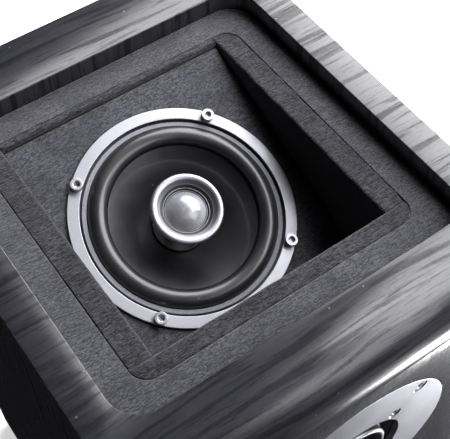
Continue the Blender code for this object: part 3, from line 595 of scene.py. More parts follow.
def points_of(mesh):
    flat = np.empty(len(mesh.vertices) * 3)
    mesh.vertices.foreach_get("co", flat)
    return flat.reshape(-1, 3)


def tidy_mesh(mesh, join_within=1e-7):
    """Merges doubles and turns the faces of a closed shape outwards."""
    form = bmesh.new()
    form.from_mesh(mesh)
    bmesh.ops.remove_doubles(form, verts=form.verts, dist=join_within)
    bmesh.ops.recalc_face_normals(form, faces=form.faces)
    form.to_mesh(mesh)
    form.free()


def settle(obj, body, look, stands_for=()):
    """Gives a finished mesh its finish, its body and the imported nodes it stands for."""
    obj.data.materials.clear()
    obj.data.materials.append(FINISHES[look])
    if body:
        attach(obj, body)
    if stands_for:
        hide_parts(*stands_for)
    print(f"{obj.name}: {len(obj.data.polygons)} faces, {look}, on {body}")
    return obj


def piece(name, grids, body, look, stands_for=(), close=(True, True), sharp=40.0):
    """One object from one or more grids of points, all closed the same way."""
    points = np.concatenate([grid.reshape(-1, 3) for grid in grids])
    faces = []
    start = 0
    for grid in grids:
        faces.append(grid_squares(grid.shape[0], grid.shape[1], *close) + start)
        start += grid.shape[0] * grid.shape[1]
    mesh = bpy.data.meshes.new(name)
    mesh.from_pydata(points.tolist(), [], np.concatenate(faces).tolist())
    tidy_mesh(mesh)
    mesh.shade_smooth()
    mesh.set_sharp_from_angle(angle=math.radians(sharp))
    mark_edges(mesh)
    return settle(add_object(name, mesh), body, look, stands_for)

# %% [markdown]
# Every driver, ring and screw is turned about an axis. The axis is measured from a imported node, so
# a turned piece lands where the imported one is. Its local height 0 is the node's outer face.

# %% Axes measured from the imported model
class Axis:
    """side is the listener's right, out leaves the cabinet, and rise = out x side."""

    def __init__(self, node, out):
        points = points_of(frame["nodes"][node].data)
        self.side = np.array((1.0, 0.0, 0.0))
        self.out = np.array(out) / np.linalg.norm(out)
        self.rise = np.cross(self.out, self.side)
        middle = [(points @ d).min() / 2 + (points @ d).max() / 2 for d in (self.side, self.rise)]
        face = (points @ self.out).max()
        self.origin = middle[0] * self.side + middle[1] * self.rise + face * self.out

    def place(self, x, y, height):
        """origin + x * side + y * rise + height * out, for whole arrays."""
        spread = [np.asarray(value)[..., None] for value in np.broadcast_arrays(x, y, height)]
        return self.origin + spread[0] * self.side + spread[1] * self.rise + spread[2] * self.out


JOINTS = {joint["name"]: joint for joint in frame["record"]["behaviour"]["joints"]}
HEIGHT_UNIT = Axis("height_trim_ring", JOINTS["height_cone_travel"]["axis"])
FRONT_UNIT = Axis("front_plate", JOINTS["front_dome_travel"]["axis"])
WOOFER = Axis("woofer_basket", JOINTS["woofer_cone_travel"]["axis"])
PORT = Axis("port_tube", JOINTS["knob_1_turn"]["axis"])
CUP = Axis("terminal_cup", JOINTS["knob_1_turn"]["axis"])
for label, axis in (("height", HEIGHT_UNIT), ("front", FRONT_UNIT), ("woofer", WOOFER), ("port", PORT)):
    print(label, "axis from", axis.origin.round(4), "towards", axis.out.round(3))

# %% [markdown]
# A lathe never leaves a perfectly sharp corner. Each corner of an outline is cut back a little and
# bridged with a quadratic curve, with one more point beside it so that flat faces stay flat.

# %% Turned surfaces
ROUND_STEPS = 144
CORNER_POINTS = 4
GUARD = 1.2


def softened(outline, radius, closed):
    """Each corner p between a and b becomes the curve (1-t)^2 s + 2t(1-t) p + t^2 e, where s and e
    lie `radius` from p towards a and b, but never further than 0.4 of the way."""
    points = np.array(outline, float)
    if not radius:
        return points
    before = np.roll(points, 1, axis=0) - points
    after = np.roll(points, -1, axis=0) - points
    reach = []
    for way in (before, after):
        length = np.linalg.norm(way, axis=1)
        reach.append(way * (np.minimum(radius, 0.4 * length) / length)[:, None])
    start, end = points + reach[0], points + reach[1]
    guards = [points + step * GUARD for step in reach]
    t = np.linspace(0, 1, CORNER_POINTS + 1)[None, :, None]
    curve = (1 - t) ** 2 * start[:, None] + 2 * t * (1 - t) * points[:, None] + t ** 2 * end[:, None]
    corners = np.concatenate([guards[0][:, None], curve, guards[1][:, None]], axis=1)
    if closed:
        return corners.reshape(-1, 2)
    return np.concatenate([points[:1], corners[1:-1].reshape(-1, 2), points[-1:]])


def turned_grid(outline, axis, steps=ROUND_STEPS, x=0.0, y=0.0, radius=0.0003, hollow=True):
    """Point (j, k) is outline point k turned by angle 2 pi j / steps about the axis through (x, y)."""
    line = softened(outline, radius, hollow)
    angle = np.linspace(0, 2 * np.pi, steps, endpoint=False)[:, None]
    return axis.place(x + line[:, 0] * np.cos(angle), y + line[:, 0] * np.sin(angle), line[:, 1])


def turned(name, outline, axis, body, look, stands_for=(), steps=ROUND_STEPS, x=0.0, y=0.0,
           radius=0.0003, hollow=True):
    """A turned piece. A hollow outline closes on itself; another starts and ends on the axis."""
    grid = turned_grid(outline, axis, steps, x, y, radius, hollow)
    return piece(name, [grid], body, look, stands_for, close=(True, hollow))


def four_round(radius, turn=0.25):
    """Four places on a circle, a quarter turn apart, the first at that part of half a turn."""
    angle = np.pi * (turn + np.arange(4) / 2)
    return np.stack([radius * np.cos(angle), radius * np.sin(angle)], axis=1)

# %% [markdown]
# ## Cabinet boards
#
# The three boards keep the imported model's shape. A real board's corners are rolled over by the
# wrap, so a merged copy gets a narrow bevel. The grain needs a layout that follows the sheet: it
# runs across the top and folds down the sides in one piece, and the two inset boards have theirs
# upright.

# %% Boards
FRONT_ROUND = 0.020
BEVEL = 0.0007


def merged_copy(node, name):
    """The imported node's mesh with its loose triangles joined and its flat parts made whole."""
    mesh = frame["nodes"][node].data.copy()
    mesh.name = name
    form = bmesh.new()
    form.from_mesh(mesh)
    bmesh.ops.remove_doubles(form, verts=form.verts, dist=1e-6)
    bmesh.ops.dissolve_limit(form, angle_limit=math.radians(0.5), verts=form.verts, edges=form.edges)
    form.to_mesh(mesh)
    form.free()
    return add_object(name, mesh)


def rounded_corners(obj, width, segments=3):
    """Puts a bevel on every corner sharper than 40 degrees and makes it part of the mesh."""
    obj.data.shade_smooth()
    bevel = obj.modifiers.new("Corners", "BEVEL")
    bevel.width = width
    bevel.segments = segments
    bevel.limit_method = "ANGLE"
    bevel.angle_limit = math.radians(40)
    bevel.harden_normals = True
    bake(obj)


def bake(obj):
    """Replaces the object's mesh by what its modifiers make of it."""
    bpy.context.view_layer.update()
    evaluated = obj.evaluated_get(bpy.context.evaluated_depsgraph_get())
    made = bpy.data.meshes.new_from_object(evaluated)
    obj.modifiers.clear()
    obj.data = made


def lay_wrap(mesh):
    """UV map "wrap" in metres, u along the grain. On the top and its rounded front edge u = x and v
    runs to the front along the surface; on the sides u goes on down from the top edge and v = y; on
    upright front and back faces u runs down and v = x."""
    corner_points = np.empty(len(mesh.loops), dtype=np.int32)
    mesh.loops.foreach_get("vertex_index", corner_points)
    x, y, z = points_of(mesh)[corner_points].T
    normals = np.empty(len(mesh.polygons) * 3)
    mesh.polygons.foreach_get("normal", normals)
    centres = np.empty(len(mesh.polygons) * 3)
    mesh.polygons.foreach_get("center", centres)
    corners = np.empty(len(mesh.polygons), dtype=np.int32)
    mesh.polygons.foreach_get("loop_total", corners)
    nx, ny, _ = np.repeat(normals.reshape(-1, 3), corners, axis=0).T
    _, cy, cz = np.repeat(centres.reshape(-1, 3), corners, axis=0).T
    fold_y = FRONT + FRONT_ROUND
    fold_z = TOP - FRONT_ROUND
    turn = np.arctan2(np.maximum(z - fold_z, 0), np.maximum(fold_y - y, 1e-9))
    rounding = (cy < fold_y) & (cz > fold_z)
    sideways = np.abs(nx) > 0.7
    upright = (np.abs(ny) > 0.7) & ~rounding & ~sideways
    u = np.where(sideways, WIDTH / 2 + TOP - z, np.where(upright, TOP - z, x))
    v = np.where(upright, x, y)
    v = np.where(rounding & ~sideways, fold_y - FRONT_ROUND * (np.pi / 2 - turn), v)
    layer = mesh.uv_layers.new(name="wrap")
    layer.data.foreach_set("uv", np.stack([u, v], axis=1).ravel())


def board(name, node, look):
    """A packed board with bevelled corners, its wrap laid out and its corners marked as edges."""
    obj = merged_copy(node, name)
    rounded_corners(obj, BEVEL)
    lay_wrap(obj.data)
    mark_edges(obj.data, BEVEL * 1.5)
    return settle(obj, "cabinet", look, (node,))


board("folded_cabinet", "cabinet_shell", "wide ash wrap")
board("front_board", "front_baffle", "fine ash wrap")
board("back_board", "back_panel", "fine ash wrap")

# %% [markdown]
# ## Felt
#
# The felt could be flat plates with a rough shader, but its cut edges are soft and it never lies
# quite flat. Each sheet is a ring between two outlines: across it runs a profile that climbs a
# rounded edge, runs level and drops again, and slow waves lift it by a tenth of a millimetre.

# %% Waves and outlines
def waves(a, b, size, seed, count=9):
    """Sum of cosines in random directions with wavelengths near `size`, scaled to about -1..1."""
    chance = np.random.default_rng(seed)
    heading = chance.uniform(0, 2 * np.pi, count)
    rate = 2 * np.pi / (size * chance.uniform(0.6, 1.8, count))
    phase = chance.uniform(0, 2 * np.pi, count)
    along = np.asarray(a)[..., None] * np.cos(heading) + np.asarray(b)[..., None] * np.sin(heading)
    return np.cos(along * rate + phase).sum(-1) / math.sqrt(count)


def rounded_loop(low, high, radius, side_points=60, corner_points=12):
    """Anticlockwise outline of a rectangle with round corners: each quarter is an arc, then a side."""
    (x0, y0), (x1, y1) = low, high
    centres = np.array([(x1 - radius, y0 + radius), (x1 - radius, y1 - radius),
                        (x0 + radius, y1 - radius), (x0 + radius, y0 + radius)])
    angle = np.pi / 2 * (np.arange(4)[:, None] - 1 + np.linspace(0, 1, corner_points)[None, :])
    arcs = centres[:, None] + radius * np.stack([np.cos(angle), np.sin(angle)], axis=-1)
    ends = np.roll(arcs[:, 0], -1, axis=0)
    t = np.linspace(0, 1, side_points, endpoint=False)[None, 1:, None]
    sides = (1 - t) * arcs[:, -1:] + t * ends[:, None]
    return np.concatenate([arcs, sides], axis=1).reshape(-1, 2)


FELT = 0.0012
FELT_EDGE = 0.0005
SEAM = 0.0003
END_GAP = 0.0002
RECESS_CORNER = 0.0147
SEAM_CORNER = 0.0090


def felt_profile(level_points):
    """(share of the way across, distance from the nearer edge, drop) round a thin section: up over
    the first edge, level, over the other edge, and back underneath."""
    bend = np.linspace(0, np.pi / 2, 5)
    rise = np.stack([0 * bend, FELT_EDGE * (1 - np.cos(bend)), FELT_EDGE * (1 - np.sin(bend))], axis=1)
    level = np.stack([np.linspace(0, 1, level_points), np.full(level_points, FELT_EDGE),
                      np.zeros(level_points)], axis=1)
    fall = rise[::-1] + (1, 0, 0)
    under = np.array([(1.0, 0.0, FELT), (0.5, 0.0, FELT), (0.0, 0.0, FELT)])
    return np.concatenate([rise[:-1], level, fall[1:], under])


def felt_ring(outer, inner, level_points):
    """Point (j, k) lies between outline points outer_j and inner_j, at the profile's share k."""
    share, step, drop = felt_profile(level_points).T
    across = inner - outer
    length = np.linalg.norm(across, axis=1)
    inset = step[None, :] / length[:, None]
    t = np.where(share < 0.5, inset, 1 - inset)
    inside = (share > 0) & (share < 1)
    t = np.where(inside[None, :], inset + (1 - 2 * inset) * share[None, :], t)
    flat = outer[:, None] + across[:, None] * t[..., None]
    return flat, np.broadcast_to(drop, flat.shape[:2])

# %% [markdown]
# The deck felt fills the pocket's floor from its wall to the seam round the well.

# %% Deck felt
def build_deck_felt():
    """A ring of felt from the recess's wall to the seam; its hole is the strips' outline."""
    low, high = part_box("deck_felt")
    seam_low = (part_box("lip_felt_left")[0][0] - SEAM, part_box("lip_felt_front")[0][1] - SEAM)
    seam_high = (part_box("lip_felt_right")[1][0] + SEAM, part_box("lip_felt_back")[1][1] + SEAM)
    outer = rounded_loop(low[:2], high[:2], RECESS_CORNER)
    inner = rounded_loop(seam_low, seam_high, SEAM_CORNER)
    flat, drop = felt_ring(outer, inner, 26)
    lift = 0.00012 * waves(flat[..., 0], flat[..., 1], 0.030, seed=3)
    grid = np.concatenate([flat, (high[2] - drop + lift * (drop < FELT / 2))[..., None]], axis=-1)
    obj = piece("deck_felt_sheet", [grid], "cabinet", "deck felt", ("deck_felt",))
    return obj


build_deck_felt()

# %% [markdown]
# The tilted felt covers the driver's baffle, with a round hole for the trim ring. Rays from the
# driver's axis carry it from the hole to the four straight edges.

# %% Tilted felt
TILTED_FELT_FACE = -0.0016
FELT_HOLE = 0.0562


def build_tilted_felt():
    """Each ray reaches the nearer of a side edge and an end edge: min(x / |cos a|, y / |sin a|)."""
    points = points_of(frame["nodes"]["height_baffle_felt"].data) - HEIGHT_UNIT.origin
    across = points @ HEIGHT_UNIT.side
    along = points @ HEIGHT_UNIT.rise
    left, right, low_end, high_end = -across.min(), across.max(), -along.min(), along.max()
    corners = [math.atan2(y, x) for x in (-left, right) for y in (-low_end, high_end)]
    angle = np.unique(np.concatenate([np.linspace(-np.pi, np.pi, 220, endpoint=False), corners]))
    reach = np.minimum(
        np.where(np.cos(angle) < 0, left, right) / np.maximum(np.abs(np.cos(angle)), 1e-9),
        np.where(np.sin(angle) < 0, low_end, high_end) / np.maximum(np.abs(np.sin(angle)), 1e-9))
    ray = np.stack([np.cos(angle), np.sin(angle)], axis=1)
    flat, drop = felt_ring(ray * reach[:, None], ray * FELT_HOLE, 22)
    lift = 0.00010 * waves(flat[..., 0], flat[..., 1], 0.035, seed=8)
    grid = HEIGHT_UNIT.place(
        flat[..., 0], flat[..., 1], TILTED_FELT_FACE - drop + lift * (drop < FELT / 2))
    obj = piece("tilted_felt_sheet", [grid], "cabinet", "deck felt",
                ("height_baffle_felt",))
    return obj


build_tilted_felt()

# %% [markdown]
# Four strips of furrier felt lie on the ledge and fold down into the well. The profile of a strip
# starts at its cut edge, crosses the ledge, turns over the fold and runs down the wall to the
# tilted felt; carried along the ledge it makes the strip. The back strip has almost no wall to
# cover, so it is as narrow as a hem.

# %% Folded strips
FOLD_RADIUS = 0.0016
LINING = 0.0020
STRIP_CORNER = 0.0087
HIDDEN_EDGE = FELT * 1.01


def tilted_level(y):
    """Height of the tilted felt's face in the world at depth y."""
    slope = -HEIGHT_UNIT.out[1] / HEIGHT_UNIT.out[2]
    face = HEIGHT_UNIT.origin + TILTED_FELT_FACE * HEIGHT_UNIT.out
    return face[2] + (y - face[1]) * slope


def strip_profile(width, depth):
    """(distance out from the wall, drop) of the section, one row for each width and depth: up over
    the cut edge, across the ledge, round the fold, down the wall, and back behind."""
    bend = np.linspace(0, np.pi / 2, 6)
    t = np.linspace(0, 1, 14)[1:-1]
    s = np.linspace(0, 1, 26)[1:-1]
    edge = np.minimum(FELT_EDGE, width * 0.4)
    fold = np.minimum(FOLD_RADIUS, width * 0.5)
    fold_drop = np.minimum(FOLD_RADIUS, depth * 0.5)
    behind = np.minimum(LINING, width * 0.8)
    out = [width - edge + edge * np.cos(bend), (1 - t) * (width - edge) + t * fold,
           fold - fold * np.sin(bend), 0 * width * s, 0 * width, behind, behind, width]
    drop = [edge - edge * np.sin(bend), 0 * width * t, fold_drop - fold_drop * np.cos(bend),
            (1 - s) * fold_drop + s * depth, depth, depth, FELT + 0 * depth, FELT + 0 * depth]
    return np.concatenate(out, axis=1), np.concatenate(drop, axis=1)


def fold_strip(name, along, widths, depths, place, seed):
    """along, widths and depths are arrays over the strip's length; place(along, out, drop) puts the
    section in the world. Waves of a tenth of a millimetre keep the edges from being ruled lines."""
    out, drop = strip_profile(widths[:, None], depths[:, None])
    run = np.broadcast_to(along[:, None], out.shape)
    wobble = 0.00013 * waves(run, out + drop, 0.014, seed)
    out = out + wobble * (out > 0)
    drop = drop - wobble * (drop < FELT / 2)
    body = place(run, out, drop)
    ends = [np.broadcast_to(body[i].mean(axis=0), body[i].shape)[None] for i in (0, -1)]
    grid = np.concatenate([ends[0], body, ends[1]])
    node = "lip_felt_" + name.split("_")[0]
    # The strips take the darker strip felt, whose darkness is partly painted shade.
    obj = piece(name, [grid], "cabinet", "strip felt", (node,), close=(False, True))
    return obj


def corner_loss(distance, end):
    """What the round corner takes off a strip's width at that distance along it:
    c - sqrt(c * c - d * d), where d is how far the place lies inside the last c before the end."""
    inside = np.maximum(distance - (end - STRIP_CORNER), 0)
    return STRIP_CORNER - np.sqrt(STRIP_CORNER ** 2 - inside ** 2)


def build_strips():
    """Back, front, right and left strip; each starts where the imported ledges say."""
    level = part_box("lip_felt_front")[1][2]
    (left, front, _), (right, well_front, _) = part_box("lip_felt_front")
    well_half = -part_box("lip_felt_left")[1][0]
    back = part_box("lip_felt_right")[1][1]
    well_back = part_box("lip_felt_back")[0][1]
    x = np.linspace(-well_half + SEAM, well_half - SEAM, 110)
    widths = np.full(len(x), back - well_back)
    depths = np.full(len(x), level - tilted_level(well_back))
    hem = fold_strip("back_strip", x, widths, depths,
                     lambda run, out, drop: np.stack([run, well_back + out, level - drop], -1), 24)
    x = np.linspace(left + END_GAP, right - END_GAP, 150)
    widths = well_front - front - corner_loss(np.abs(x), right)
    depths = np.where(np.abs(x) < well_half + LINING, level - tilted_level(well_front), HIDDEN_EDGE)
    fold_strip("front_strip", x, widths, depths,
               lambda run, out, drop: np.stack([run, well_front - out, level - drop], -1), 21)
    y = np.linspace(well_front + SEAM, back - END_GAP, 140)
    widths = right - well_half - corner_loss(y, back)
    depths = np.maximum(level - tilted_level(y), HIDDEN_EDGE)
    depths = np.where(y < well_back + LINING, depths, HIDDEN_EDGE)
    for side, sign, seed, hems in (("right", 1, 22, [hem]), ("left", -1, 23, [])):
        fold_strip(f"{side}_strip", y, widths, depths,
                   lambda run, out, drop: np.stack([sign * (well_half + out), run, level - drop], -1),
                   seed)


build_strips()

# %% [markdown]
# ## The tilted driver
#
# From outside in: a silver trim ring with four socket screws, a grey gasket, a half-roll rubber
# surround, the cone, and a small dome unit that stands on the magnet's pole. All of them are turned
# outlines, written as (radius, height over the ring's face).

# %% Trim ring, gasket and screws
TRIM = [(0.0499, 0.0), (0.0557, 0.0), (0.0557, -0.0027), (0.0499, -0.0027)]
GASKET = [(0.0465, -0.0012), (0.0487, -0.0012), (0.0487, -0.0021), (0.0465, -0.0021)]
turned("trim_ring", TRIM, HEIGHT_UNIT, "cabinet", "satin silver", ("height_trim_ring",))
turned("gasket_ring", GASKET, HEIGHT_UNIT, "cabinet", "gasket foam", ("height_gasket",),
       radius=0.0004)


def socket_outline(head_radius, head_low, head_top, shank_radius, shank_low, socket_radius,
                   socket_depth):
    """Half section of a cap screw: down into the socket, over the head, and down the shank."""
    floor_height = head_top - socket_depth
    return [(0, floor_height), (socket_radius, floor_height), (socket_radius, head_top),
            (head_radius, head_top), (head_radius, head_low), (shank_radius, head_low),
            (shank_radius, shank_low), (0, shank_low)]


def hexagonal(grid_outline, axis, x, y, turn, socket_radius):
    """Turned screw whose socket wall is six-sided: inside the socket the radius is divided by
    cos of the angle to the nearest flat."""
    line = softened(grid_outline, 0.00025, False)
    angle = np.linspace(0, 2 * np.pi, 48, endpoint=False)[:, None] + turn
    off_flat = np.mod(angle - turn, np.pi / 3) - np.pi / 6
    inside = (line[:, 0] <= socket_radius * 1.02) & (np.arange(len(line)) < len(line) / 2)
    radius = line[:, 0] * np.where(inside, 0.88 / np.cos(off_flat), 1.0)
    return axis.place(x + radius * np.cos(angle), y + radius * np.sin(angle), line[:, 1])


def cap_screws(prefix, places, outline, axis, socket_radius, look, nodes=()):
    """One screw at each place, each turned a little differently, as a screwdriver leaves them."""
    for i, (x, y) in enumerate(places):
        grid = hexagonal(outline, axis, x, y, 0.4 + 0.7 * i, socket_radius)
        stands_for = (nodes[i],) if nodes else ()
        piece(f"{prefix}_{i + 1}", [grid], "cabinet", look, stands_for,
              close=(True, False))


CAP_SCREW = socket_outline(0.0031, 0.0002, 0.0031, 0.0016, -0.0140, 0.0016, 0.0019)
cap_screws("trim_screw", four_round(0.053), CAP_SCREW, HEIGHT_UNIT, 0.0016, "screw metal",
           [f"height_screw_{i}" for i in (1, 2, 3, 4)])

# %% [markdown]
# The surround bridges the still frame and the moving cone. It is turned in one piece and given
# no body.

# %% Surround and cone
def roll_outline(inner, outer, base, height, foot, skin, points=22):
    """Half ellipse from the inner to the outer radius, a flat foot outside it, a short lip inside
    it, and the same line one skin lower."""
    angle = np.linspace(np.pi, 0, points)
    middle, half = (inner + outer) / 2, (outer - inner) / 2
    top = np.stack([middle + half * np.cos(angle), base + height * np.sin(angle)], axis=1)
    under = np.stack([middle + (half - skin) * np.cos(angle[::-1]),
                      base - skin + (height - skin * 0.2) * np.sin(angle[::-1])], axis=1)
    feet = np.array([(foot, base), (foot, base - skin)])
    return np.concatenate([top, feet, under, [(inner, base - skin)]])


def share_by_radius(obj, axis):
    """The points' offsets from the axis's origin; nothing is set from them."""
    offset = points_of(obj.data) - axis.origin


def blended_surround(name, node, axis, inner, outer, base, height, foot):
    """Half-roll surround, turned in one piece and given no body."""
    grid = turned_grid(roll_outline(inner, outer, base, height, foot, 0.0006), axis, radius=0)
    obj = piece(name, [grid], None, "surround rubber", (node,))
    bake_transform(obj)
    share_by_radius(obj, axis)
    return obj


def skinned(line, skin):
    """The line, and the same line one skin lower on the way back."""
    return np.concatenate([line, (line - (0, skin))[::-1]])


def cone_wall(neck, edge, skin=0.0008, points=26, power=0.85):
    """Height rises from the neck to the edge as (share of the way out) ** power; the same line one
    skin lower closes it."""
    t = np.linspace(0, 1, points)
    radius = neck[0] + (edge[0] - neck[0]) * t
    height = neck[1] + (edge[1] - neck[1]) * t ** power
    return skinned(np.stack([radius, height], axis=1), skin)


blended_surround("height_roll", "height_surround", HEIGHT_UNIT,
                 0.0368, 0.0462, -0.0021, 0.0038, 0.0484)
turned("height_cone_skin", cone_wall((0.0135, -0.0185), (0.0365, -0.0021)), HEIGHT_UNIT, "height_cone",
       "cone skin", ("height_cone",), radius=0)

# %% [markdown]
# The small unit is a black waveguide with a bright, broad lip. Inside the lip a dark throat leads
# down to the dome, which is pressed from smoke-grey film and sits between two thin clamp rings.

# %% Small dome unit
LIP = [(0.0125, 0.0070), (0.0146, 0.0089), (0.0160, 0.0093), (0.0172, 0.0090), (0.0178, 0.0081),
       (0.0174, 0.0062), (0.0166, 0.0056), (0.0135, 0.0058)]
HORN = [(0, 0.0030), (0.0106, 0.0030), (0.0107, 0.0052), (0.0114, 0.0060), (0.0126, 0.0069),
        (0.0140, 0.0062), (0.0171, 0.0058), (0.0160, 0.0030), (0.0120, -0.0050), (0.0075, -0.0075),
        (0.0042, -0.0090), (0.0042, -0.0470), (0, -0.0470)]
turned("small_unit_horn", HORN, HEIGHT_UNIT, "cabinet", "black plastic",
       ("height_tweeter_housing",), hollow=False, radius=0.0004)
turned("small_unit_lip", LIP, HEIGHT_UNIT, "cabinet", "satin silver", radius=0.0006)


def clamp_ring(name, radius, height, wire):
    """Round wire bent to a ring round the small dome: its section is a circle of eight points."""
    angle = np.linspace(0, 2 * np.pi, 8, endpoint=False)
    section = np.stack([radius + wire * np.cos(angle), height + wire * np.sin(angle)], axis=1)
    return turned(name, section, HEIGHT_UNIT, "cabinet", "smoky dome", radius=0)


clamp_ring("clamp_ring_outer", 0.0112, 0.0058, 0.00022)
clamp_ring("clamp_ring_inner", 0.0102, 0.0051, 0.00020)


def dome_line(radius, base, rise, skin, points=18):
    """Arc of a circle through the apex and the base's rim, and the same arc one skin lower."""
    ball = (radius ** 2 + rise ** 2) / (2 * rise)
    angle = np.linspace(0, math.asin(radius / ball), points)
    arc = np.stack([ball * np.sin(angle), base + rise - ball + ball * np.cos(angle)], axis=1)
    return skinned(arc, skin)


turned("height_dome_film", dome_line(0.0098, 0.0050, 0.0042, 0.0006), HEIGHT_UNIT, "height_dome",
       "smoky dome", ("height_tweeter_dome",), hollow=False, radius=0)

# %% [markdown]
# ## The front unit
#
# A thick silver plate lies flush in the front board. Its countersunk holes are cut with a Boolean,
# because no single outline holds both the round plate and eight small cones, and the cut shape is
# then fixed in the mesh.

# %% Front plate
PLATE = [(0.0301, 0.0), (0.0570, 0.0), (0.0570, -0.0032), (0.0301, -0.0032)]
OUTER_SCREWS = four_round(0.0524)
INNER_SCREWS = four_round(0.0345)


def countersinks(places, wide, sink, narrow):
    """Cones from `wide` at the face to `narrow` at the depth `sink`, then straight on through."""
    section = [(0, 0.002), (wide + 0.0004, 0.002), (wide + 0.0004, 0.0), (narrow, -sink),
               (narrow, -0.006), (0, -0.006)]
    return [turned_grid(section, FRONT_UNIT, 40, x, y, 0, False) for x, y in places]


def build_front_plate():
    """The plate with its countersinks cut; the cutter is removed again."""
    plate = piece("front_plate_disc", [turned_grid(PLATE, FRONT_UNIT, 192, radius=0.0004)], "cabinet",
                  "satin silver", ("front_plate",))
    cutter = piece("countersinks", countersinks(OUTER_SCREWS, 0.0036, 0.0023, 0.0020)
                   + countersinks(INNER_SCREWS, 0.0030, 0.0018, 0.0017), "cabinet", "satin silver",
                   close=(True, False))
    hole = plate.modifiers.new("Holes", "BOOLEAN")
    hole.operation = "DIFFERENCE"
    hole.solver = "EXACT"
    hole.object = cutter
    bake(plate)
    bpy.data.objects.remove(cutter)
    tidy_mesh(plate.data, 1e-6)
    plate.data.shade_smooth()
    plate.data.set_sharp_from_angle(angle=math.radians(28))
    return plate


build_front_plate()
COUNTERSUNK = [(0, -0.0019), (0.0015, -0.0019), (0.0015, -0.0004), (0.0033, -0.0004), (0.0031, -0.0008),
               (0.0016, -0.0022), (0.0016, -0.0150), (0, -0.0150)]
SMALL_COUNTERSUNK = [(0, -0.0016), (0.0012, -0.0016), (0.0012, -0.0005), (0.0027, -0.0005),
                     (0.0025, -0.0008), (0.0014, -0.0018), (0.0014, -0.0060), (0, -0.0060)]
cap_screws("plate_screw", OUTER_SCREWS, COUNTERSUNK, FRONT_UNIT, 0.0015, "screw metal",
           [f"front_screw_{i}" for i in (1, 2, 3, 4)])
cap_screws("inner_plate_screw", INNER_SCREWS, SMALL_COUNTERSUNK, FRONT_UNIT, 0.0012, "screw metal")

# %% [markdown]
# Behind the plate's hole a black moulding leads to the dome, with one bright ring round its mouth.

# %% Front horn and dome
FRONT_HORN = [(0, -0.0125), (0.0135, -0.0125), (0.0135, -0.0085), (0.0160, -0.0072), (0.0197, -0.0041),
              (0.0228, -0.0041), (0.0245, -0.0085), (0.0285, -0.0085), (0.0298, -0.0035),
              (0.0385, -0.0035), (0.0385, -0.0065), (0.0335, -0.0065), (0.0335, -0.0150), (0, -0.0150)]
HORN_RING = [(0.0200, -0.0012), (0.0206, -0.0005), (0.0219, -0.0005), (0.0225, -0.0014),
             (0.0225, -0.0038), (0.0200, -0.0038)]
turned("front_horn", FRONT_HORN, FRONT_UNIT, "cabinet", "black plastic",
       ("front_unit_body",), hollow=False, radius=0.0006)
turned("bright_horn_ring", HORN_RING, FRONT_UNIT, "cabinet", "satin silver",
       ("front_horn_ring",))
turned("front_dome_film", dome_line(0.0128, -0.0110, 0.0048, 0.0006), FRONT_UNIT, "front_dome",
       "smoky dome", ("front_dome",), hollow=False, radius=0)

# %% [markdown]
# ## The woofer
#
# It is a larger driver of the same kind. A thin black trim covers the frame's flange, with eight
# cap screws in it, and a soft dome closes the cone's middle.

# %% Woofer
WOOFER_TRIM = [(0.0637, 0.0004), (0.0646, 0.0016), (0.0738, 0.0016), (0.0750, 0.0004), (0.0750, 0.0001),
               (0.0637, 0.0001)]
WOOFER_SCREW = socket_outline(0.0027, 0.0017, 0.0036, 0.0015, -0.0030, 0.0013, 0.0013)
turned("woofer_trim", WOOFER_TRIM, WOOFER, "cabinet", "black plastic")
woofer_spots = np.concatenate([four_round(0.0694, 0.125), four_round(0.0694, 0.375)])
cap_screws("woofer_screw", woofer_spots, WOOFER_SCREW, WOOFER, 0.0013, "screw metal")
blended_surround("woofer_roll", "woofer_surround", WOOFER,
                 0.0500, 0.0604, -0.0052, 0.0046, 0.0634)
turned("woofer_cone_skin", cone_wall((0.0168, -0.0270), (0.0497, -0.0052)), WOOFER, "woofer_cone",
       "cone skin", ("woofer_cone",), radius=0)
turned("woofer_cap", dome_line(0.0215, -0.0177, 0.0060, 0.0008), WOOFER, "woofer_cone", "cone skin",
       ("woofer_dust_cap",), hollow=False, radius=0)

# %% [markdown]
# ## The back
#
# The port is a tube whose mouth flares by a quarter circle, so that the air leaves it quietly. The
# terminal cup holds two pairs of posts with knurled knobs: a knob's radius is a wave of the angle,
# which fades out at its two smooth collars.

# %% Port
def flare_outline(throat, flare, flange, points=16):
    """Quarter circle from the throat's wall out to the flange's face, then the tube's outside."""
    angle = np.linspace(np.pi, np.pi / 2, points)
    mouth = np.stack([throat + flare + flare * np.cos(angle), -flare + flare * np.sin(angle)], axis=1)
    rest = np.array([(flange, 0.0), (flange, -0.0027), (throat + 0.0064, -0.0027),
                     (throat + 0.0022, -0.0110), (throat + 0.0022, -0.110), (throat, -0.110)])
    return np.concatenate([mouth, rest])


turned("port_mouth", flare_outline(0.0240, 0.0120, 0.0380), PORT, "cabinet", "black plastic",
       ("port_tube",), radius=0.0005)

# %% Terminal cup and posts
KNOB_LOW, KNOB_HIGH = -0.02352, -0.0062
KNURL_DEPTH = 0.0004
POSTS = [(np.array(JOINTS[f"knob_{i}_turn"]["pos_m"]) - CUP.origin) @ CUP.side for i in (1, 2, 3, 4)]


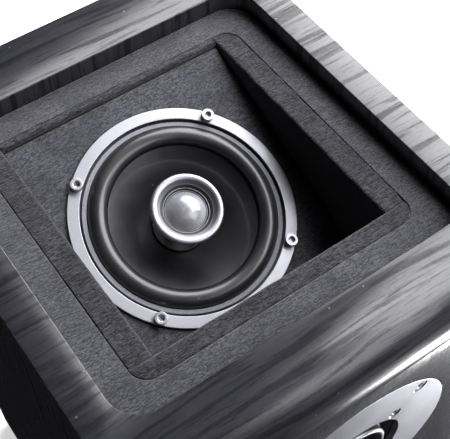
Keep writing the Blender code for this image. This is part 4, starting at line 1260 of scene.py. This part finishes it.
def knurled(x):
    """radius = a step outline + 0.4 mm * (cos of 12 times the angle, squared) over the grip."""
    low, high = KNOB_LOW, KNOB_HIGH
    line = softened([(0.0030, low), (0.0030, high), (0.0056, high), (0.0062, high - 0.0012),
                     (0.0062, high - 0.0030), (0.0060, high - 0.0040), (0.0060, low + 0.0040),
                     (0.0063, low + 0.0030), (0.0063, low + 0.0006), (0.0058, low)], 0.0003, True)
    angle = np.linspace(0, 2 * np.pi, 192, endpoint=False)[:, None]
    grip = (line[:, 0] > 0.0045) & (line[:, 1] < high - 0.0042) & (line[:, 1] > low + 0.0042)
    radius = line[:, 0] + KNURL_DEPTH * np.cos(12 * angle) ** 2 * grip
    return CUP.place(x + radius * np.cos(angle), radius * np.sin(angle), line[:, 1])


def build_terminals():
    """The tray, and four gold posts with black and red knobs in turn."""
    cup = merged_copy("terminal_cup", "terminal_tray")
    rounded_corners(cup, 0.0008)
    mark_edges(cup.data, 0.0012)
    settle(cup, "cabinet", "black plastic", ("terminal_cup",))
    post = [(0, -0.0085), (0.0026, -0.0085), (0.0026, -0.0240), (0.0052, -0.0240), (0.0052, -0.0271),
            (0.0026, -0.0271), (0.0026, -0.0388), (0, -0.0388)]
    for i, x in enumerate(POSTS):
        turned(f"threaded_post_{i + 1}", post, CUP, "cabinet", "gold plate",
               (f"post_{i + 1}",), steps=48, x=x, hollow=False)
        look, slot = ("red plastic", "red_plastic") if i % 2 else ("black plastic", "black_plastic")
        piece(f"knurled_knob_{i + 1}", [knurled(x)], f"knob_{i + 1}", look, (f"knob_{i + 1}",))


build_terminals()
BACK_SCREW = socket_outline(0.0026, 0.0001, 0.0016, 0.0014, -0.0020, 0.0012, 0.0009)
cap_screws("port_screw", four_round(0.0370), BACK_SCREW, PORT, 0.0012, "plain steel")
cup_spots = [(sx * 0.0555, sy * 0.0255) for sx in (-1, 1) for sy in (-1, 1)]
cap_screws("cup_screw", cup_spots, BACK_SCREW, CUP, 0.0012, "plain steel")

# %% [markdown]
# ## Feet and hidden parts
#
# The feet are turned rubber pads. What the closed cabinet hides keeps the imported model's shape, in
# the finish that the real part has.

# %% Feet
FOOT = [(0, 0.0057), (0.0094, 0.0057), (0.0110, 0.0016), (0.0105, 0.0), (0.0070, 0.0), (0.0060, 0.0006),
        (0, 0.0006)]


class Upright(Axis):
    """An axis that stands on the floor at the middle of a node."""

    def __init__(self, node):
        super().__init__(node, (0.0, 0.0, 1.0))
        self.origin = self.origin * (1, 1, 0)


for depth in ("front", "back"):
    for side in ("left", "right"):
        node = f"foot_{depth}_{side}"
        turned(f"rubber_{node}", FOOT, Upright(node), "cabinet", "foot rubber", (node,),
               steps=48, hollow=False)

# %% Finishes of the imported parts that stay
KEPT = {
    "fibreboard": ("well_cheek_left", "well_cheek_right", "well_front_wall"),
    "circuit board": ("crossover_board",),
    "frame paint": ("height_basket", "woofer_basket", "height_baffle"),
    "socket black": ("height_voice_coil", "height_yoke"),
    "coil copper": ("woofer_voice_coil",),
    "spider cloth": ("height_spider", "woofer_spider"),
    "ferrite": ("height_magnet", "woofer_magnet", "front_motor"),
    "plain steel": ("woofer_yoke",),
}
for look, nodes in KEPT.items():
    for node in nodes:
        for slot_of_node in frame["nodes"][node].material_slots:
            slot_of_node.link = "OBJECT"
            slot_of_node.material = FINISHES[look]
print("packed parts kept:", sum(len(nodes) for nodes in KEPT.values()))
